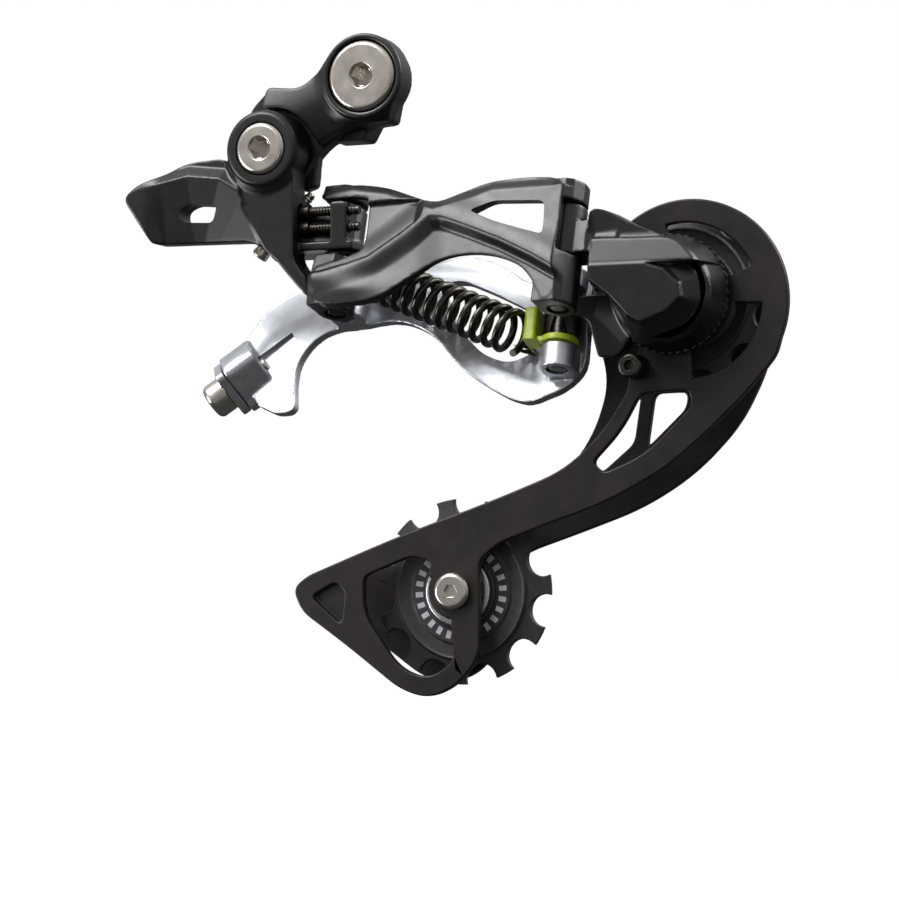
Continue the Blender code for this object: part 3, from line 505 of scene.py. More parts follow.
def grown(tree, place=WORLD, **values):
    """The plain mesh that a node tree makes with these inputs, at its place."""
    host = bpy.data.objects.new("host", bpy.data.meshes.new("host"))
    bpy.context.collection.objects.link(host)
    modifier = host.modifiers.new("grow", 'NODES')
    modifier.node_group = tree
    for item in tree.interface.items_tree:
        if item.name in values:
            modifier[item.identifier] = values[item.name]
    graph = bpy.context.evaluated_depsgraph_get()
    mesh = bpy.data.meshes.new_from_object(host.evaluated_get(graph), depsgraph=graph)
    host.modifiers.remove(modifier)
    bpy.data.objects.remove(host)
    work = bmesh.new()
    work.from_mesh(mesh)
    bmesh.ops.recalc_face_normals(work, faces=work.faces)
    work.to_mesh(mesh)
    work.free()
    mesh.transform(place)
    mesh.shade_smooth()
    return mesh


# a spiral climbs along Z; this turns it to climb along Y
ALONG_Y = Matrix.Rotation(math.radians(-90), 4, 'X')


def thread(radius, start, length, place, finish):
    """A rolled thread: a fine ridge wound round a shank."""
    return grown(wound, place @ Matrix.Translation((0, start, 0)) @ ALONG_Y,
                 Turns=length / THREAD_PITCH, Radius=radius, Length=length, Wire=0.24, Finish=finish)


def cross_recess(low, high, place):
    bars = [[(-1.35, -0.3), (1.35, -0.3), (1.35, 0.3), (-1.35, 0.3)],
            [(-0.3, -1.35), (0.3, -1.35), (0.3, 1.35), (-0.3, 1.35)]]
    return [slab(bar, low, high, place) for bar in bars]


for name, height in LIMIT_HEIGHTS.items():
    screw = aimed((-17.0, LIMIT_Y, height), (1, 0, 0))
    head = rounded([(0, -1.4), (1.5, -1.4, 0.3), (1.9, -0.9, 0.3), (1.9, 1.9), (1.1, 1.9), (1.1, 15.5),
                    (0, 15.5)], 3)
    shank = machined(turned(head, screw, sides=40), cuts=cross_recess(-3, -0.5, screw), edge=0)
    piece(name + "_blackened", joined([shank, thread(1.06, 2.4, 12.6, screw, oxide)]), oxide,
          "high_screw" if "high" in name else "low_screw", "steel", name)
head = rounded([(0, 0), (0.9, 0, 0.2), (1.1, 0.6), (1.1, 18.6), (2.0, 18.6, 0.2), (2.2, 21.2, 0.5),
                (0, 21.6)], 3)
shank = machined(turned(head, tip, sides=40), cuts=cross_recess(20.6, 24, tip), edge=0)
piece("b_tension_screw_plated", joined([shank, thread(1.1, 1.0, 17.2, tip, nickel)]), nickel, "b_screw",
      "steel", "b_tension_screw")

# Outer link. The forged and painted arm one sees from the side: a lobe behind, an arch towards the
# front pin and a second, thinner arm above it, with a window between the two.
def eye(frame_of_pin, span, side, reach=8.3):
    """A boss round a pin with a web to the link's plate: side is -1 outboard and 1 inboard."""
    points = [(x, -side * y) for x, y in arc((0, 0), BOSS, 0, 180)]
    web = [(-BOSS, side * reach), (1.2, side * reach), (BOSS, side * 2.0)]
    return slab(points + web, span[0], span[1], frame_of_pin, up=True)


RIDGE = [(-8, -11.6), (-0.9, -10.8), (6.5, -9.3), (12.0, -7.8), (20.5, -2.3), (27.6, 3.0), (31.0, 2.4),
         (39.7, -1.2), (48.2, -5.0), (56.9, -9.6), (63.5, -13.6), (70, -18)]


def shaped_outer_link(along, depth, up):
    """Below the ridge the face falls in, then swells again at the lobe; above it the arm is crowned."""
    side = beside(along, up, RIDGE)
    right = ramp(along, 22, 34)
    scoop = (1.3 + 1.2 * right) * ramp(-side, 0.2, 5.5 - 2.5 * right)
    swell = 1.2 * np.exp(-((along - 5) / 9.5) ** 2 - ((up + 15) / 3.6) ** 2)
    above = 1.5 * ramp(side, 0.4, 9.0)
    top = 1.2 * ramp(beside(along, up, [(-4, 12), (4, 12.5), (14, 10.5), (28.5, 4.6), (36, 7), (44, 9),
                                        (60, 8.6)]), -1.0, 2.6)
    hollow = 1.2 * ramp(side, 0.2, 1.4) * ramp(8.6 - up, 0, 1.0) * ramp(26 - along, 0, 3)
    return lowered(depth, -4.9, -8.6, np.minimum(scoop - swell + above + top + hollow, 3.0))


plate = rounded([(-3.6, 11.4, 1), (-1.6, 13.4, 2), (4.0, 14.3, 3), (13.0, 12.8, 5), (28.5, 6.4, 5),
                 (35.0, 9.2, 4), (42.0, 11.4, 5), (52.0, 11.8, 5), (60.0, 11.0, 4), (63.0, 8.6, 3),
                 (63.0, -4.0, 2), (63.2, -19.6, 3), (60.8, -22.0, 3), (58.0, -17.4, 3), (53.6, -12.0, 4),
                 (46.6, -8.8, 4), (38.6, -7.6, 5), (31.0, -8.6, 4), (24.0, -13.4, 4), (15.6, -18.6, 4),
                 (6.0, -19.4, 4), (-1.6, -18.8, 3), (-3.6, -14.0, 2), (-3.6, -8.6, 1), (4.0, -6.4, 2),
                 (9.3, -4.7, 2), (9.3, 2.0, 2), (9.0, 9.6, 1), (5.0, 10.3), (-3.6, 10.3)])
window = rounded([(38.6, 3.0, 1.5), (44.4, 5.6, 2), (58.6, 4.4, 2), (59.2, -5.0, 1.5), (53.0, -3.0, 2),
                  (46.0, -0.6, 2)])
eyes = [eye(OUTER_FRAME, (10.9, 14.8), -1), eye(OUTER_FRAME, (-18.6, -4.4), -1),
        eye(OUTER_FRONT, (5.0, 10.6), -1), eye(OUTER_FRONT, (-22.0, -9.0), -1)]
piece("forged_outer_link",
      forged([slab(plate, -8.6, -4.9, OUTER_FRAME), *eyes],
             [slab(window, -12, 0, OUTER_FRAME), rod(PIN_BORE, -30, 30, OUTER_FRAME, up=True),
              rod(PIN_BORE, -30, 30, OUTER_FRONT, up=True)],
             easing=5, place=OUTER_FRAME, carve=shaped_outer_link),
      paint, "outer_link", "black_aluminium", "outer_link")

# Inner link. Forged aluminium, bead blasted and clear anodised to a satin silver; it carries the arm
# whose end clamps the gear cable, and a window lightens its middle.
CLAMP_SEAT = (-33.3, 6.2, -27.6)
CLAMP_DIRECTION = (-0.80, -0.06, -0.60)
seat = INNER_FRAME @ aimed(CLAMP_SEAT, CLAMP_DIRECTION)

# Satin silver anodised aluminium: cool pale grey, blasted grain about 0.25 mm wide, drawn 0.5 mm wide
# so that it shows.
silver = surfaced(new_material("satin silver anodised aluminium", 1.0),
                  7.0, "#c3c6cc", "#d9dce1", (2.0, 0.36, 0.48), (0.5, 3.0, 0.012))


def shaped_inner_link(along, depth, up):
    """The arch is crowned along its upper edge and the lower flange is set back."""
    spine = [(-36, -18), (-28, -9), (-14, -4), (4, -1), (20, -3), (36, -6), (50, -12), (68, -14)]
    side = beside(along, up, spine)
    return lowered(depth, 8.3, 4.9, 0.9 * ramp(side, 2.0, 7.0) + 0.7 * ramp(-side, 5.0, 9.0))


plate = rounded([(-21.0, -3.6, 4), (-11.0, 3.0, 4), (-4.0, 7.8, 2), (6.0, 7.4, 4), (14.0, 3.0, 5),
                 (20.0, 2.2, 5), (28.0, 4.0, 5), (36.0, 2.6, 5), (43.5, -1.6, 5), (48.5, -5.2, 3),
                 (66.4, -5.2, 3), (66.7, -20.0), (66.8, -30.0, 4), (62.0, -34.6, 5), (52.5, -38.0, 4),
                 (47.0, -36.4, 3), (39.3, -32.0, 6), (32.0, -27.0, 8), (23.0, -17.0, 8),
                 (12.8, -12.4, 6), (1.9, -13.6, 3), (-6.5, -13.9, 5), (-11.7, -16.6, 5), (-15.4, -22.0, 5),
                 (-15.8, -28.0, 4), (-14.4, -36.0, 3), (-19.5, -36.6, 2), (-25.5, -33.8),
                 (-34.2, -22.5), (-36.2, -19.8, 3), (-30.4, -13.0, 6), (-27.0, -7.6, 6)])
window = rounded([(24.0, -4.0, 4), (30.0, -3.0, 4), (40.0, -7.6, 4), (52.0, -14.0, 3),
                  (53.0, -24.0, 3), (46.0, -27.0, 4), (38.0, -24.0, 5), (29.0, -15.0, 5)])
pad = rounded([(-7.5, -5.6, 3), (7.5, -5.6, 3), (7.5, 5.6, 3), (-7.5, 5.6, 3)])
eyes = [eye(INNER_FRAME, (3.6, 8.0), 1, 8.0), eye(INNER_FRAME, (-13.6, -7.6), 1, 8.0),
        eye(INNER_FRONT, (-10.4, -5.2), 1, 8.0), eye(INNER_FRONT, (-32.0, -25.6), 1, 8.0)]
piece("forged_inner_link",
      forged([slab(plate, 4.9, 8.3, INNER_FRAME), *eyes, slab(pad, -9.0, 0.0, seat)],
             [slab(window, 0, 12, INNER_FRAME), rod(PIN_BORE, -30, 30, INNER_FRAME, up=True),
              rod(PIN_BORE, -50, 30, INNER_FRONT, up=True), rod(2.85, -20, 5, seat)],
             easing=4, place=INNER_FRAME, carve=shaped_inner_link),
      silver, "inner_link", "silver_aluminium", "inner_link")

# Cable clamp. A plated bolt presses a small grooved plate on the cable, which lies in the groove
# between the plate and the arm's end.
washer = rounded([(-6.6, -5.0, 2), (6.6, -5.0, 2), (6.6, 5.0, 2), (-6.6, 5.0, 2)])
groove = seat @ Matrix.Translation((0, 0.3, 3.4)) @ Matrix.Rotation(math.radians(90), 4, 'Z')
piece("clamp_washer", machined(slab(washer, 0.3, 2.5, seat),
                               cuts=[rod(2.9, -2, 5, seat), rod(0.7, -9, 9, groove, sides=24)],
                               edge=0.25),
      silver, "cable_clamp", "silver_aluminium", "cable_clamp_plate")
bolt = rounded([(0, -9.8), (2.1, -9.8, 0.2), (2.1, 2.8), (4.7, 2.8, 0.2), (4.7, 7.2, 0.5),
                (4.0, 8.1, 0.4), (0, 8.2)], 4)
bolt_mesh = machined(turned(bolt, seat), cuts=[hexagon(4.0, 4.4, 10, seat)], edge=0.12)
piece("clamp_bolt", joined([bolt_mesh, thread(2.1, -9.2, 11.5, seat, nickel)]), nickel, "cable_clamp",
      "steel", "cable_clamp_bolt")

# Link pins. Four hardened steel pins, blackened, pressed into the links and riveted over at the ends.
PINS = {"outer_rear_pin": (OUTER_FRAME, -18.3, 14.5, "outer_link"),
        "outer_front_pin": (OUTER_FRONT, -21.7, 10.3, "outer_link"),
        "inner_rear_pin": (INNER_FRAME, -13.3, 7.7, "inner_link"),
        "inner_front_pin": (INNER_FRONT, -31.7, -5.5, "inner_link")}
for name, (place, low, high, body) in PINS.items():
    profile = rounded([(0, low), (1.9, low, 0.3), (2.5, low + 0.7, 0.3), (2.5, high - 0.7, 0.3),
                       (1.9, high, 0.3), (0, high)], 4)
    centre = turned([(0, high + 1), (1.2, high + 1), (0.1, high - 0.5), (0, high - 0.5)], place,
                    up=True)
    piece(name + "_riveted", machined(turned(profile, place, up=True), cuts=[centre], edge=0),
          oxide, body, "dark_steel", name)

# Return spring. A coil of hardened wire stretched across the parallelogram, which pulls it to its
# rest. It is a plain coil that ends beside the moulded guide, without its hooks.
SPRING_START = (8.0, 7.0, -6.6)
SPRING_END = (47.6, 5.0, -23.4)
start = LEANING @ Vector(SPRING_START)
end = LEANING @ Vector(SPRING_END)
along = end - start
SPRING_TURNS = 12.0
SPRING_RADIUS = 5.1
SPRING_WIRE = 0.95
spring_turn = Vector((0, 0, 1)).rotation_difference(along).to_matrix().to_4x4()
ALONG_SPRING = Matrix.Translation(start) @ spring_turn

# Hardened spring wire: dark, lightly oiled, drawn lengthwise, so it gleams along each coil.
wire = surfaced(new_material("oil-tempered spring wire", 1.0),
                2.2, "#3b3935", "#5a5750", (0.8, 0.24, 0.38), (0.4, 3.0, 0.008))

coil = grown(wound, ALONG_SPRING, Turns=SPRING_TURNS, Radius=SPRING_RADIUS, Length=along.length,
             Wire=SPRING_WIRE, Finish=wire)
spring = piece("return_spring_wire", coil, wire, "body", "dark_steel", "return_spring")
# it is then taken off the body and left where it stands, riding on no body
spring.parent = None
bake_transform(spring)

# Spring guide. A thin moulded ring on the lower front pin, with an ear beside the spring's end. The
# acetal is a bright yellow-green, slightly translucent and waxy.
acetal = surfaced(new_material("yellow-green acetal", 0.0, Subsurface_Weight=0.15,
                               Subsurface_Scale=0.6 * MM),
                  2.0, "#a4b81c", "#c3d63a", (1.0, 0.32, 0.42))
KNUCKLE_LOW = Matrix.Translation(INNER_FRONT.to_translation()) @ LEANING.to_3x3().to_4x4()
foot = [(-8.6, -3.0), (-2.0, -3.0), (-2.0, 2.4), (-8.6, 2.4)]
ear = rounded([(-8.6, -4.4, 1), (-5.2, -4.4, 1), (-5.2, 2.4), (-8.6, 2.4, 1)])
piece("spring_guide_moulded",
      machined(tube(PIN_BORE, BOSS, -25.3, -23.8, KNUCKLE_LOW, up=True),
               joins=[slab(foot, -25.2, -23.9, KNUCKLE_LOW, up=True),
                      slab(ear, -25.25, -16.6, KNUCKLE_LOW, up=True)],
               cuts=[rod(PIN_BORE, -40, 0, KNUCKLE_LOW, up=True)], edge=0.2),
      acetal, "inner_link", "green_resin", "spring_guide")

# Knuckle. The front body, forged and painted: two blocks carry the links' front pins, and a round
# housing holds the cage's spring and axle. A raised panel covers its face.
CAGE = Vector(joints["cage_swing"]["pos_m"]) / MM
KNUCKLE_TOP = Matrix.Translation(OUTER_FRONT.to_translation()) @ LEANING.to_3x3().to_4x4()
KNUCKLE_FACE = -14.0
HOUSING = 14.4
PANEL = [(58.0, -50.6), (74.5, -50.4), (80.5, -52.2), (84.3, -55.8), (84.8, -59.2), (81.0, -62.6),
         (74.6, -64.9), (71.4, -63.1), (66.8, -58.1), (61.7, -54.2), (56, -54)]


def shaped_knuckle(along, depth, up):
    """A flat raised panel with a step along its top; the face slopes away from its other edges."""
    outside = beside(along, up, PANEL)
    above = ramp(up, -50.8, -50.2)
    slope = np.where(outside > 0, np.minimum(0.62 * outside, 5.0), 0.0)
    step = 0.9 * ramp(outside, 0.0, 0.5) * (1 - above)
    band = above * (0.35 + 0.28 * np.maximum(up + 50.0, 0) * ramp(along, 60, 62))
    return lowered(depth, 0.0, KNUCKLE_FACE, np.where(up > -50.6, np.minimum(band, 2.4), slope + step))


panel = rounded([(61.4, -43.9, 1), (83.0, -44.4, 5), (88.4, -50.0, 3), (92.0, -58.0, 4),
                 (88.0, -66.0, 5), (75.0, -70.4, 3), (71.6, -69.4, 2), (69.4, -61.8, 2), (66.6, -58.4, 2),
                 (61.4, -55.4, 1)])
shoulder = rounded([(60.6, -36.2, 2), (64.5, -36.8, 3), (71.0, -40.4, 3), (80.0, -44.0, 2),
                    (80.0, -58.0), (66.0, -58.0), (60.6, -54.0, 1)])
housing = turned([(0, -12.8), (12.4, -12.8), (HOUSING, -3.0), (HOUSING, 0.3), (0, 0.3)], at(CAGE))
top = [(0, 4.6), (0, -4.6), (3.0, -3.4), (6.5, -3.9), (14, -4.2), (14, 4.6)]
leg = rounded([(50.5, -57.4), (50.5, -61.0), (57.5, -62.6, 2), (60.0, -72.2, 1), (65.0, -72.0, 1),
               (70.0, -66.0), (70.0, -56.4)])
piece("forged_knuckle",
      forged([slab(panel, KNUCKLE_FACE, -6.0), housing,
              slab(shoulder, -12.0, -1.0), rod(BOSS, -8.6, 4.7, KNUCKLE_TOP, up=True),
              slab(top, -8.5, 0.0, KNUCKLE_TOP, up=True), rod(BOSS, -23.5, -10.8, KNUCKLE_LOW, up=True),
              slab(leg, -4.4, -0.3)],
             [tube(7.0, 11.4, -10.6, 2.0, at(CAGE)), rod(5.5, -10.8, 2.0, at(CAGE)),
              rod(PIN_BORE, -40, 40, KNUCKLE_TOP, up=True), rod(3.1, -40, -2, KNUCKLE_LOW, up=True)],
             easing=4, carve=shaped_knuckle),
      paint, "knuckle", "black_aluminium", "knuckle")
carried("cage_axle_bush", bronze)
torsion = Matrix.Translation((CAGE.x, -9.4, CAGE.z)) @ ALONG_Y
piece("cage_torsion_spring", grown(wound, torsion, Turns=3.4, Radius=9.2, Length=8.0, Wire=0.9,
                                   Finish=wire),
      wire, "knuckle", "dark_steel", "cage_spring")

# Notched ring. Small teeth round the foot of the knuckle's housing, cut in the same forging and
# painted with it.
NOTCHES = 44
teeth, sizes, output = input_tree("ring of teeth", {"Count": "Int", "Radius": "Float", "Wide": "Float",
                                                    "Deep": "Float", "Tall": "Float",
                                                    "Finish": "Material"})
around = node(teeth, "GeometryNodeMeshCircle", {"Vertices": sizes.outputs["Count"],
                                                "Radius": sizes.outputs["Radius"]})
extent = node(teeth, "ShaderNodeCombineXYZ", {"X": sizes.outputs["Tall"], "Y": sizes.outputs["Wide"],
                                              "Z": sizes.outputs["Deep"]})
tooth = node(teeth, "GeometryNodeMeshCube", {"Size": extent.outputs["Vector"]})
number = node(teeth, "GeometryNodeInputIndex")
step = node(teeth, "ShaderNodeMath", {0: 2 * math.pi, 1: sizes.outputs["Count"]}, operation='DIVIDE')
turn = node(teeth, "ShaderNodeMath", {0: number.outputs["Index"], 1: step.outputs["Value"]},
            operation='MULTIPLY')
heading = node(teeth, "ShaderNodeCombineXYZ", {"Z": turn.outputs["Value"]})
copies = node(teeth, "GeometryNodeInstanceOnPoints",
              {"Points": around.outputs["Mesh"], "Instance": tooth.outputs["Mesh"],
               "Rotation": heading.outputs["Vector"]})
real = node(teeth, "GeometryNodeRealizeInstances", {"Geometry": copies.outputs["Instances"]})
finished = node(teeth, "GeometryNodeSetMaterial", {"Geometry": real.outputs["Geometry"],
                                                   "Material": sizes.outputs["Finish"]})
teeth.links.new(finished.outputs["Geometry"], output.inputs["Geometry"])
notches = grown(teeth, Matrix.Translation((CAGE.x, -1.2, CAGE.z)) @ ALONG_Y, Count=NOTCHES,
                Radius=HOUSING - 0.1, Wide=1.1, Deep=1.8, Tall=0.9, Finish=paint)
piece("housing_notches", machined(notches, edge=0.15), paint, "knuckle", "black_aluminium")

# Cage axle and stop. The cage turns on a hollow blackened axle with a rubber seal round it, and a
# small socket screw in the plate comes to rest against the knuckle.
STOP = Vector(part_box("cage_stop_screw")[0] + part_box("cage_stop_screw")[1]) / (2 * MM)
axle = rounded([(0, -10.4), (4.0, -10.4, 0.3), (4.0, 3.8), (5.4, 3.8, 0.2), (5.4, 4.7, 0.3),
                (0, 4.7)], 3)
piece("cage_axle_turned", machined(turned(axle, at(CAGE)), cuts=[rod(2.8, -4.0, 9, at(CAGE))], edge=0.1),
      oxide, "cage", "dark_steel", "cage_axle")

# Nitrile rubber: matt black with a fine skin.
rubber = surfaced(new_material("nitrile rubber", 0.0), 2.0, "#131313", "#1c1c1c", (0.6, 0.70, 0.85))
seal = rounded([(10.6, 0.6, 0.1), (13.2, 0.6, 0.1), (13.2, 0.9, 0.1), (10.6, 0.9, 0.1)], 3)
piece("cage_seal_moulded", machined(turned(seal, at(CAGE)), edge=0), rubber, "cage", "rubber",
      "cage_seal")
pin = rounded([(0, -5.4), (2.6, -5.4, 0.4), (3.1, -4.8, 0.3), (3.1, 0.9, 0.2), (1.7, 0.9),
               (1.7, 3.2, 0.2), (0, 3.2)], 4)
piece("stop_screw", machined(turned(pin, at(STOP)), cuts=[hexagon(2.5, -7, -3.6, at(STOP))], edge=0.1),
      oxide, "cage", "dark_steel", "cage_stop_screw")

# Outer cage plate. Aluminium plate, pressed, machined and anodised black: a round shield at the
# pivot, a curved stem with a window, and a loop round the tension pulley.
TENSION = Vector(joints["tension_spin"]["pos_m"]) / MM
DISC = (82.0, -58.9)
OUTER_FACE = 1.2
PLATE = 2.3

# Black anodised aluminium plate: charcoal with a warm tint, evenly satin, with a faint rolled grain.
anodised = surfaced(new_material("black anodised aluminium", 0.35),
                    12.0, "#272222", "#332d2c", (4.0, 0.36, 0.46), (0.6, 3.0, 0.01))


def sector(centre, inner, outer, start, end, steps=18):
    """A curved slot between two radii."""
    return arc(centre, outer, start, end, steps) + arc(centre, inner, end, start, steps)


outline = rounded([*arc(DISC, 25.2, 135, -22, 48), (104.2, -72.6, 8), (98.0, -80.0, 8),
                   (88.0, -89.6, 10), (76.0, -99.6, 12), (60.0, -107.8, 12), (45.0, -112.8, 12),
                   (32.5, -117.2, 3), (27.2, -121.6, 2), (27.2, -146.0, 4), (20.6, -153.2, 4),
                   (13.4, -156.0, 4), (5.8, -153.8, 4), (-9.0, -142.7, 8), (-21.4, -134.2, 3),
                   (-23.8, -128.4, 3), (-20.0, -125.2, 3), (6.0, -115.0, 12), (32.0, -106.2, 10),
                   (50.0, -99.2, 10), (60.0, -90.0, 10), (66.8, -79.6, 4), (66.5, -73.0, 3),
                   (65.2, -70.5, 2), (64.8, -58.0, 2), (64.8, -47.0, 2)], 6)
tail = rounded([(-4.2, -125.4, 2), (9.0, -120.3, 2), (14.2, -121.6, 1.5), (13.6, -125.6),
                *arc((TENSION.x, TENSION.z), 6.9, 150, 265, 16), (20.6, -146.6, 3), (13.4, -151.2, 4),
                (5.4, -148.2, 5), (-4.0, -135.0, 4)], 6)
through = rounded([(69.6, -81.0, 2.5), (82.0, -80.3, 2), (82.8, -84.2, 4), (71.0, -95.8, 7),
                   (60.0, -100.4, 2.5), (57.0, -97.8, 2), (64.6, -90.0, 5)], 6)
pocket = rounded([(-18.8, -130.4, 2), (-12.0, -126.8, 1.5), (-9.3, -129.0, 1.5), (-10.2, -137.6, 2)], 6)
back = OUTER_FACE + PLATE
piece("outer_plate_anodised",
      machined(slab(outline, OUTER_FACE, back),
               cuts=[slab(tail, -9, 9), slab(pocket, -9, OUTER_FACE + 1.5), slab(through, -9, 9),
                     slab(sector((80.8, -58.4), 13.6, 19.0, 24, 104), -9, 9),
                     slab(sector(DISC, 11.8, 18.6, -3, -88), -9, 9), rod(4.3, -9, 9, at(CAGE)),
                     rod(1.9, -9, 9, at(STOP)), rod(2.8, -9, 9, at(TENSION))], edge=0.5),
      anodised, "cage", "plate_aluminium", "cage_outer_plate")

# Inner cage plate. The same stock and finish as the outer plate, between the pulleys and the wheel.
INNER_FACE = 14.2
HUB = (77.2, -58.9)
outline = rounded([*arc(HUB, 24.2, 175, -20, 48), (97.5, -76.0, 8), (91.5, -88.0, 8), (80.0, -100.0, 10),
                   (66.0, -108.6, 12), (48.0, -115.0, 12), (36.0, -119.0, 3), (27.6, -124.0, 2),
                   (27.4, -144.0, 4), (21.0, -150.4, 4), (13.4, -152.4, 4), (6.4, -150.6, 4),
                   (-7.0, -141.0, 8), (-17.0, -134.0, 3), (-19.4, -129.6, 3), (-15.0, -126.6, 3),
                   (6.0, -117.6, 12), (28.0, -109.4, 10), (44.0, -101.6, 10), (53.0, -90.0, 10),
                   (57.0, -77.0, 6), (54.0, -66.0, 3)], 6)
rear_window = rounded([(60.8, -81.4, 2), (65.4, -80.4, 2), (63.6, -92.4, 2), (55.0, -99.6, 2),
                       (51.6, -98.0, 2), (57.6, -90.0, 4)], 6)
front_window = rounded([(69.0, -80.2, 2), (77.6, -80.0, 2), (77.2, -84.0, 3), (67.0, -93.6, 2)], 6)
piece("inner_plate_anodised",
      machined(slab(outline, INNER_FACE, INNER_FACE + PLATE),
               cuts=[slab(sector((TENSION.x, TENSION.z), 6.9, 14.5, 150, 265), 9, 20),
                     slab(rear_window, 9, 20), slab(front_window, 9, 20),
                     slab(sector(HUB, 9.0, 16.5, 20, 160), 9, 20),
                     slab(sector(HUB, 9.0, 15.0, 200, 320), 9, 20), rod(2.8, 9, 20, at(CAGE)),
                     rod(2.8, 9, 20, at(TENSION))], edge=0.5),
      anodised, "cage", "plate_aluminium", "cage_inner_plate")

# Pulleys. Two wheels moulded in glass-filled nylon, each with eleven teeth for the chain, running on
# a bronze bush between two stainless dust caps; one socket bolt holds each between the plates.
TEETH = 11
PITCH = 12.7
ROLLER = 4.1
TIP = 23.4
PRINTED_BARS = 26
PRINT_RADIUS = 11.3
PULLEY_Y = TENSION.y
PITCH_R = PITCH / (2 * math.sin(math.pi / TEETH))

# Glass-filled nylon: dark charcoal grey with a dull sheen and a moulded texture 0.5 mm wide.
nylon = surfaced(new_material("glass-filled nylon", 0.0),
                 1.2, "#2a2a2c", "#343436", (0.8, 0.38, 0.52), (0.5, 3.0, 0.015))

# Stainless sheet, pressed: pale and bright, with a slightly uneven polish.
stainless = surfaced(new_material("pressed stainless steel", 1.0),
                     3.0, "#bfc0c3", "#d5d6d9", (0.7, 0.24, 0.38))

# Pad print: a matt pale grey ink.
ink = surfaced(new_material("pale grey print", 0.0, Roughness=0.6), 1.0, "#b4b6bc", "#c6c8ce")


def roller_seats(place):
    """Eleven round cutters on the pitch circle, one for each chain roller."""
    seats = []
    for i in range(TEETH):
        angle = 2 * math.pi * (i + 0.5) / TEETH
        centre = Matrix.Translation((PITCH_R * math.cos(angle), 0, PITCH_R * math.sin(angle)))
        seats.append(rod(ROLLER, -9, 9, place @ centre, sides=48))
    return joined(seats)


for label, centre, body in (("guide", CAGE, "guide_pulley"), ("tension", TENSION, "tension_pulley")):
    place = at(centre, PULLEY_Y) @ Matrix.Rotation(math.radians(-4), 4, 'Y')
    half = [(9.4, 3.4), (9.6, 2.4), (13.2, 2.4), (13.5, 2.0), (16.2, 2.0), (17.0, 2.4), (17.6, 1.6),
            (TIP - 3.4, 1.0), (TIP, 0.7)]
    profile = [(5.5, -3.4), *[(r, -h) for r, h in half], *[(r, h) for r, h in reversed(half)],
               (5.5, 3.4)]
    wheel = machined(turned(profile, place, sides=132), cuts=[roller_seats(place)], edge=0.22)
    piece(f"{label}_wheel", wheel, nylon, body, "resin", f"{label}_pulley")
    # a ring of plain printed bars on each face, where the maker's data would be
    for side in (-1, 1):
        spot = place @ Matrix.Translation((0, side * 2.42, 0)) @ ALONG_Y
        bars = grown(teeth, spot, Count=PRINTED_BARS, Radius=PRINT_RADIUS, Wide=1.3, Deep=0.05, Tall=2.0,
                     Finish=ink)
        name = f"{label}_print_{'outer' if side < 0 else 'inner'}"
        piece(name, machined(bars, edge=0), ink, body, "resin")
    carried(f"{label}_pulley_bush", bronze)
    carried(f"{label}_bolt_sleeve", nickel)
    for side, bore in (("outer", 6.0 if label == "guide" else 3.8), ("inner", 3.8)):
        facing = -1 if side == "outer" else 1
        cap = [(bore, 4.9 - 0.5), (6.6, 4.9 - 0.5), (7.2, 4.9, 0.3), (8.6, 4.9 - 0.1, 0.3), (8.6, 3.9),
               (bore, 3.9)]
        cap = [(r, facing * h, *ease) for r, h, *ease in cap]
        piece(f"{label}_dust_cap_{side}", machined(turned(rounded(cap, 3), place), edge=0), stainless,
              "cage", "silver_aluminium", f"{label}_cap_{side}")

profile = rounded([(0, 19.6), (4.0, 19.6, 0.4), (4.6, 19.0, 0.3), (4.6, 16.8, 0.2), (2.5, 16.8),
                   (2.5, -3.0, 0.2), (0, -3.0)], 4)
piece("guide_bolt", machined(turned(profile, at(CAGE)), cuts=[hexagon(3.0, 17.6, 22, at(CAGE))],
                             edge=0.1),
      nickel, "cage", "steel", "guide_pulley_bolt")
profile = rounded([(0, -0.9), (3.9, -0.9, 0.5), (4.6, -0.2, 0.3), (4.6, 0.9, 0.2), (2.5, 0.9),
                   (2.5, 18.0, 0.2), (0, 18.0)], 4)
piece("tension_bolt", machined(turned(profile, at(TENSION)), cuts=[hexagon(3.0, -3, 0.0, at(TENSION))],
                               edge=0.1),
      nickel, "cage", "steel", "tension_pulley_bolt")

# Studio. A plain pale floor, a white surround and large soft lights, seen through a long lens from
# outboard and a little ahead.
EYE = Vector((0.31902, -0.74017, -0.13579))
HEADING = Vector((-0.37409, 0.92591, 0.05234))
camera_data = bpy.data.cameras.new("camera")
camera_data.lens = 128
camera_data.sensor_width = 36
camera_data.clip_start = 0.01
camera = bpy.data.objects.new("camera", camera_data)
camera.location = EYE
camera.rotation_euler = HEADING.to_track_quat('-Z', 'Y').to_euler()
bpy.context.scene.collection.objects.link(camera)
bpy.context.scene.camera = camera

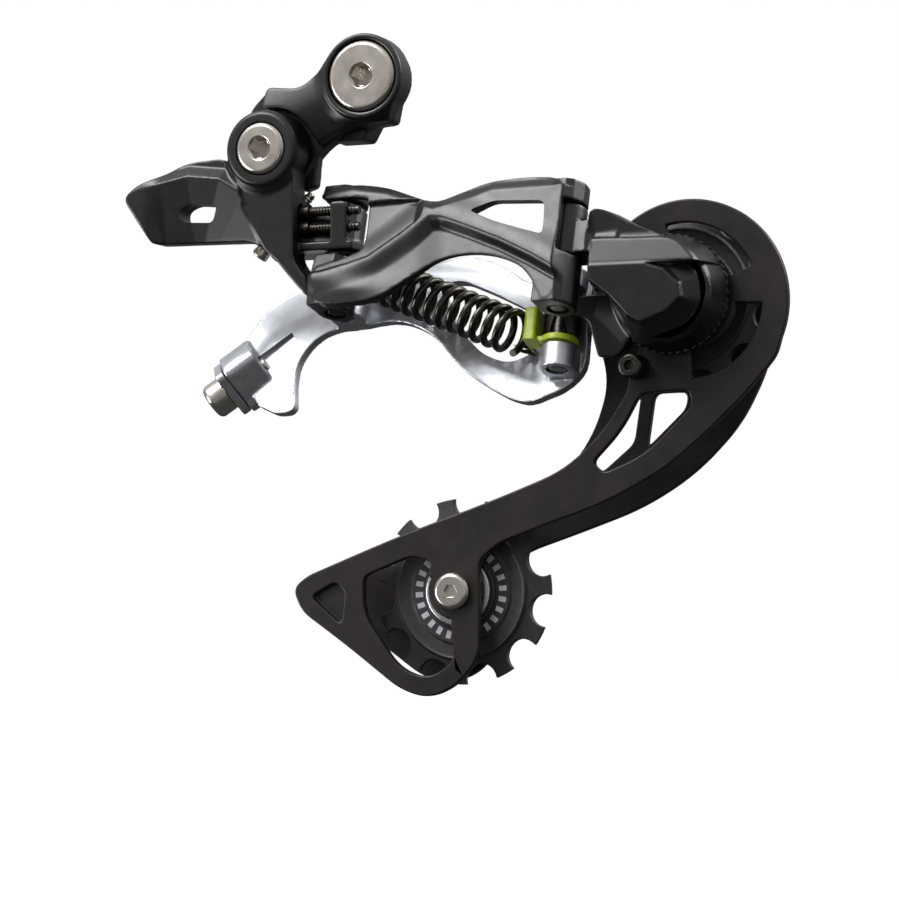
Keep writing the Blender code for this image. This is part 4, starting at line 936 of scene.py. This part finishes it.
# Chalk white paper: matt, and faintly lit from within, so that it runs into the surround.
chalk = surfaced(new_material("chalk white floor", 0.0, Roughness=0.9, Emission_Color=(1, 1, 1, 1),
                              Emission_Strength=0.55),
                 400.0, "#f4f4f4", "#f8f8f8")
floor_mesh = slab([(x * 4000, y * 4000) for x, y in ((-1, -1), (1, -1), (1, 1), (-1, 1))], -230, -226,
                  up=True)
floor_mesh.transform(Matrix.Scale(MM, 4))
floor_mesh.materials.append(chalk)
floor = bpy.data.objects.new("floor", floor_mesh)
floor.visible_glossy = False
floor.visible_diffuse = False
bpy.context.scene.collection.objects.link(floor)

TARGET = Vector((0.02, 0.0, -0.08))


def soft_light(name, place, size, watts):
    """A square soft light aimed at the middle of the object."""
    data = bpy.data.lights.new(name, 'AREA')
    data.size = size
    data.energy = watts
    light = bpy.data.objects.new(name, data)
    light.location = place
    light.rotation_euler = (TARGET - Vector(place)).to_track_quat('-Z', 'Y').to_euler()
    bpy.context.scene.collection.objects.link(light)


soft_light("key", (-0.45, -0.55, 0.75), 0.55, 12)
soft_light("side", (-0.85, -0.55, -0.30), 0.45, 7)
soft_light("rim", (0.75, 0.35, 0.60), 0.6, 9)
soft_light("low", (0.3, -0.9, -0.2), 0.15, 0.2)

# the surround is bright above and dim below, and plain white where it is seen directly
bpy.context.scene.view_settings.view_transform = 'Standard'
surround = bpy.data.worlds.new("white surround")
bpy.context.scene.world = surround
surround.use_nodes = True
tree = surround.node_tree
around = node(tree, "ShaderNodeTexCoord").outputs["Generated"]
way = node(tree, "ShaderNodeSeparateXYZ", {"Vector": around})
glow = node(tree, "ShaderNodeMapRange", {"Value": way.outputs["Z"], "From Min": -0.35, "From Max": 0.75,
                                         "To Min": 0.06, "To Max": 0.62})
seen = node(tree, "ShaderNodeLightPath").outputs["Is Camera Ray"]
ground = tree.nodes["Background"]
ground.inputs["Color"].default_value = (1, 1, 1, 1)
tree.links.new(glow.outputs["Result"], ground.inputs["Strength"])
backdrop = node(tree, "ShaderNodeBackground", {"Color": (1, 1, 1, 1), "Strength": 1.0})
mixed = node(tree, "ShaderNodeMixShader", {0: seen, 1: ground.outputs[0], 2: backdrop.outputs[0]})
tree.links.new(mixed.outputs[0], tree.nodes["World Output"].inputs["Surface"])
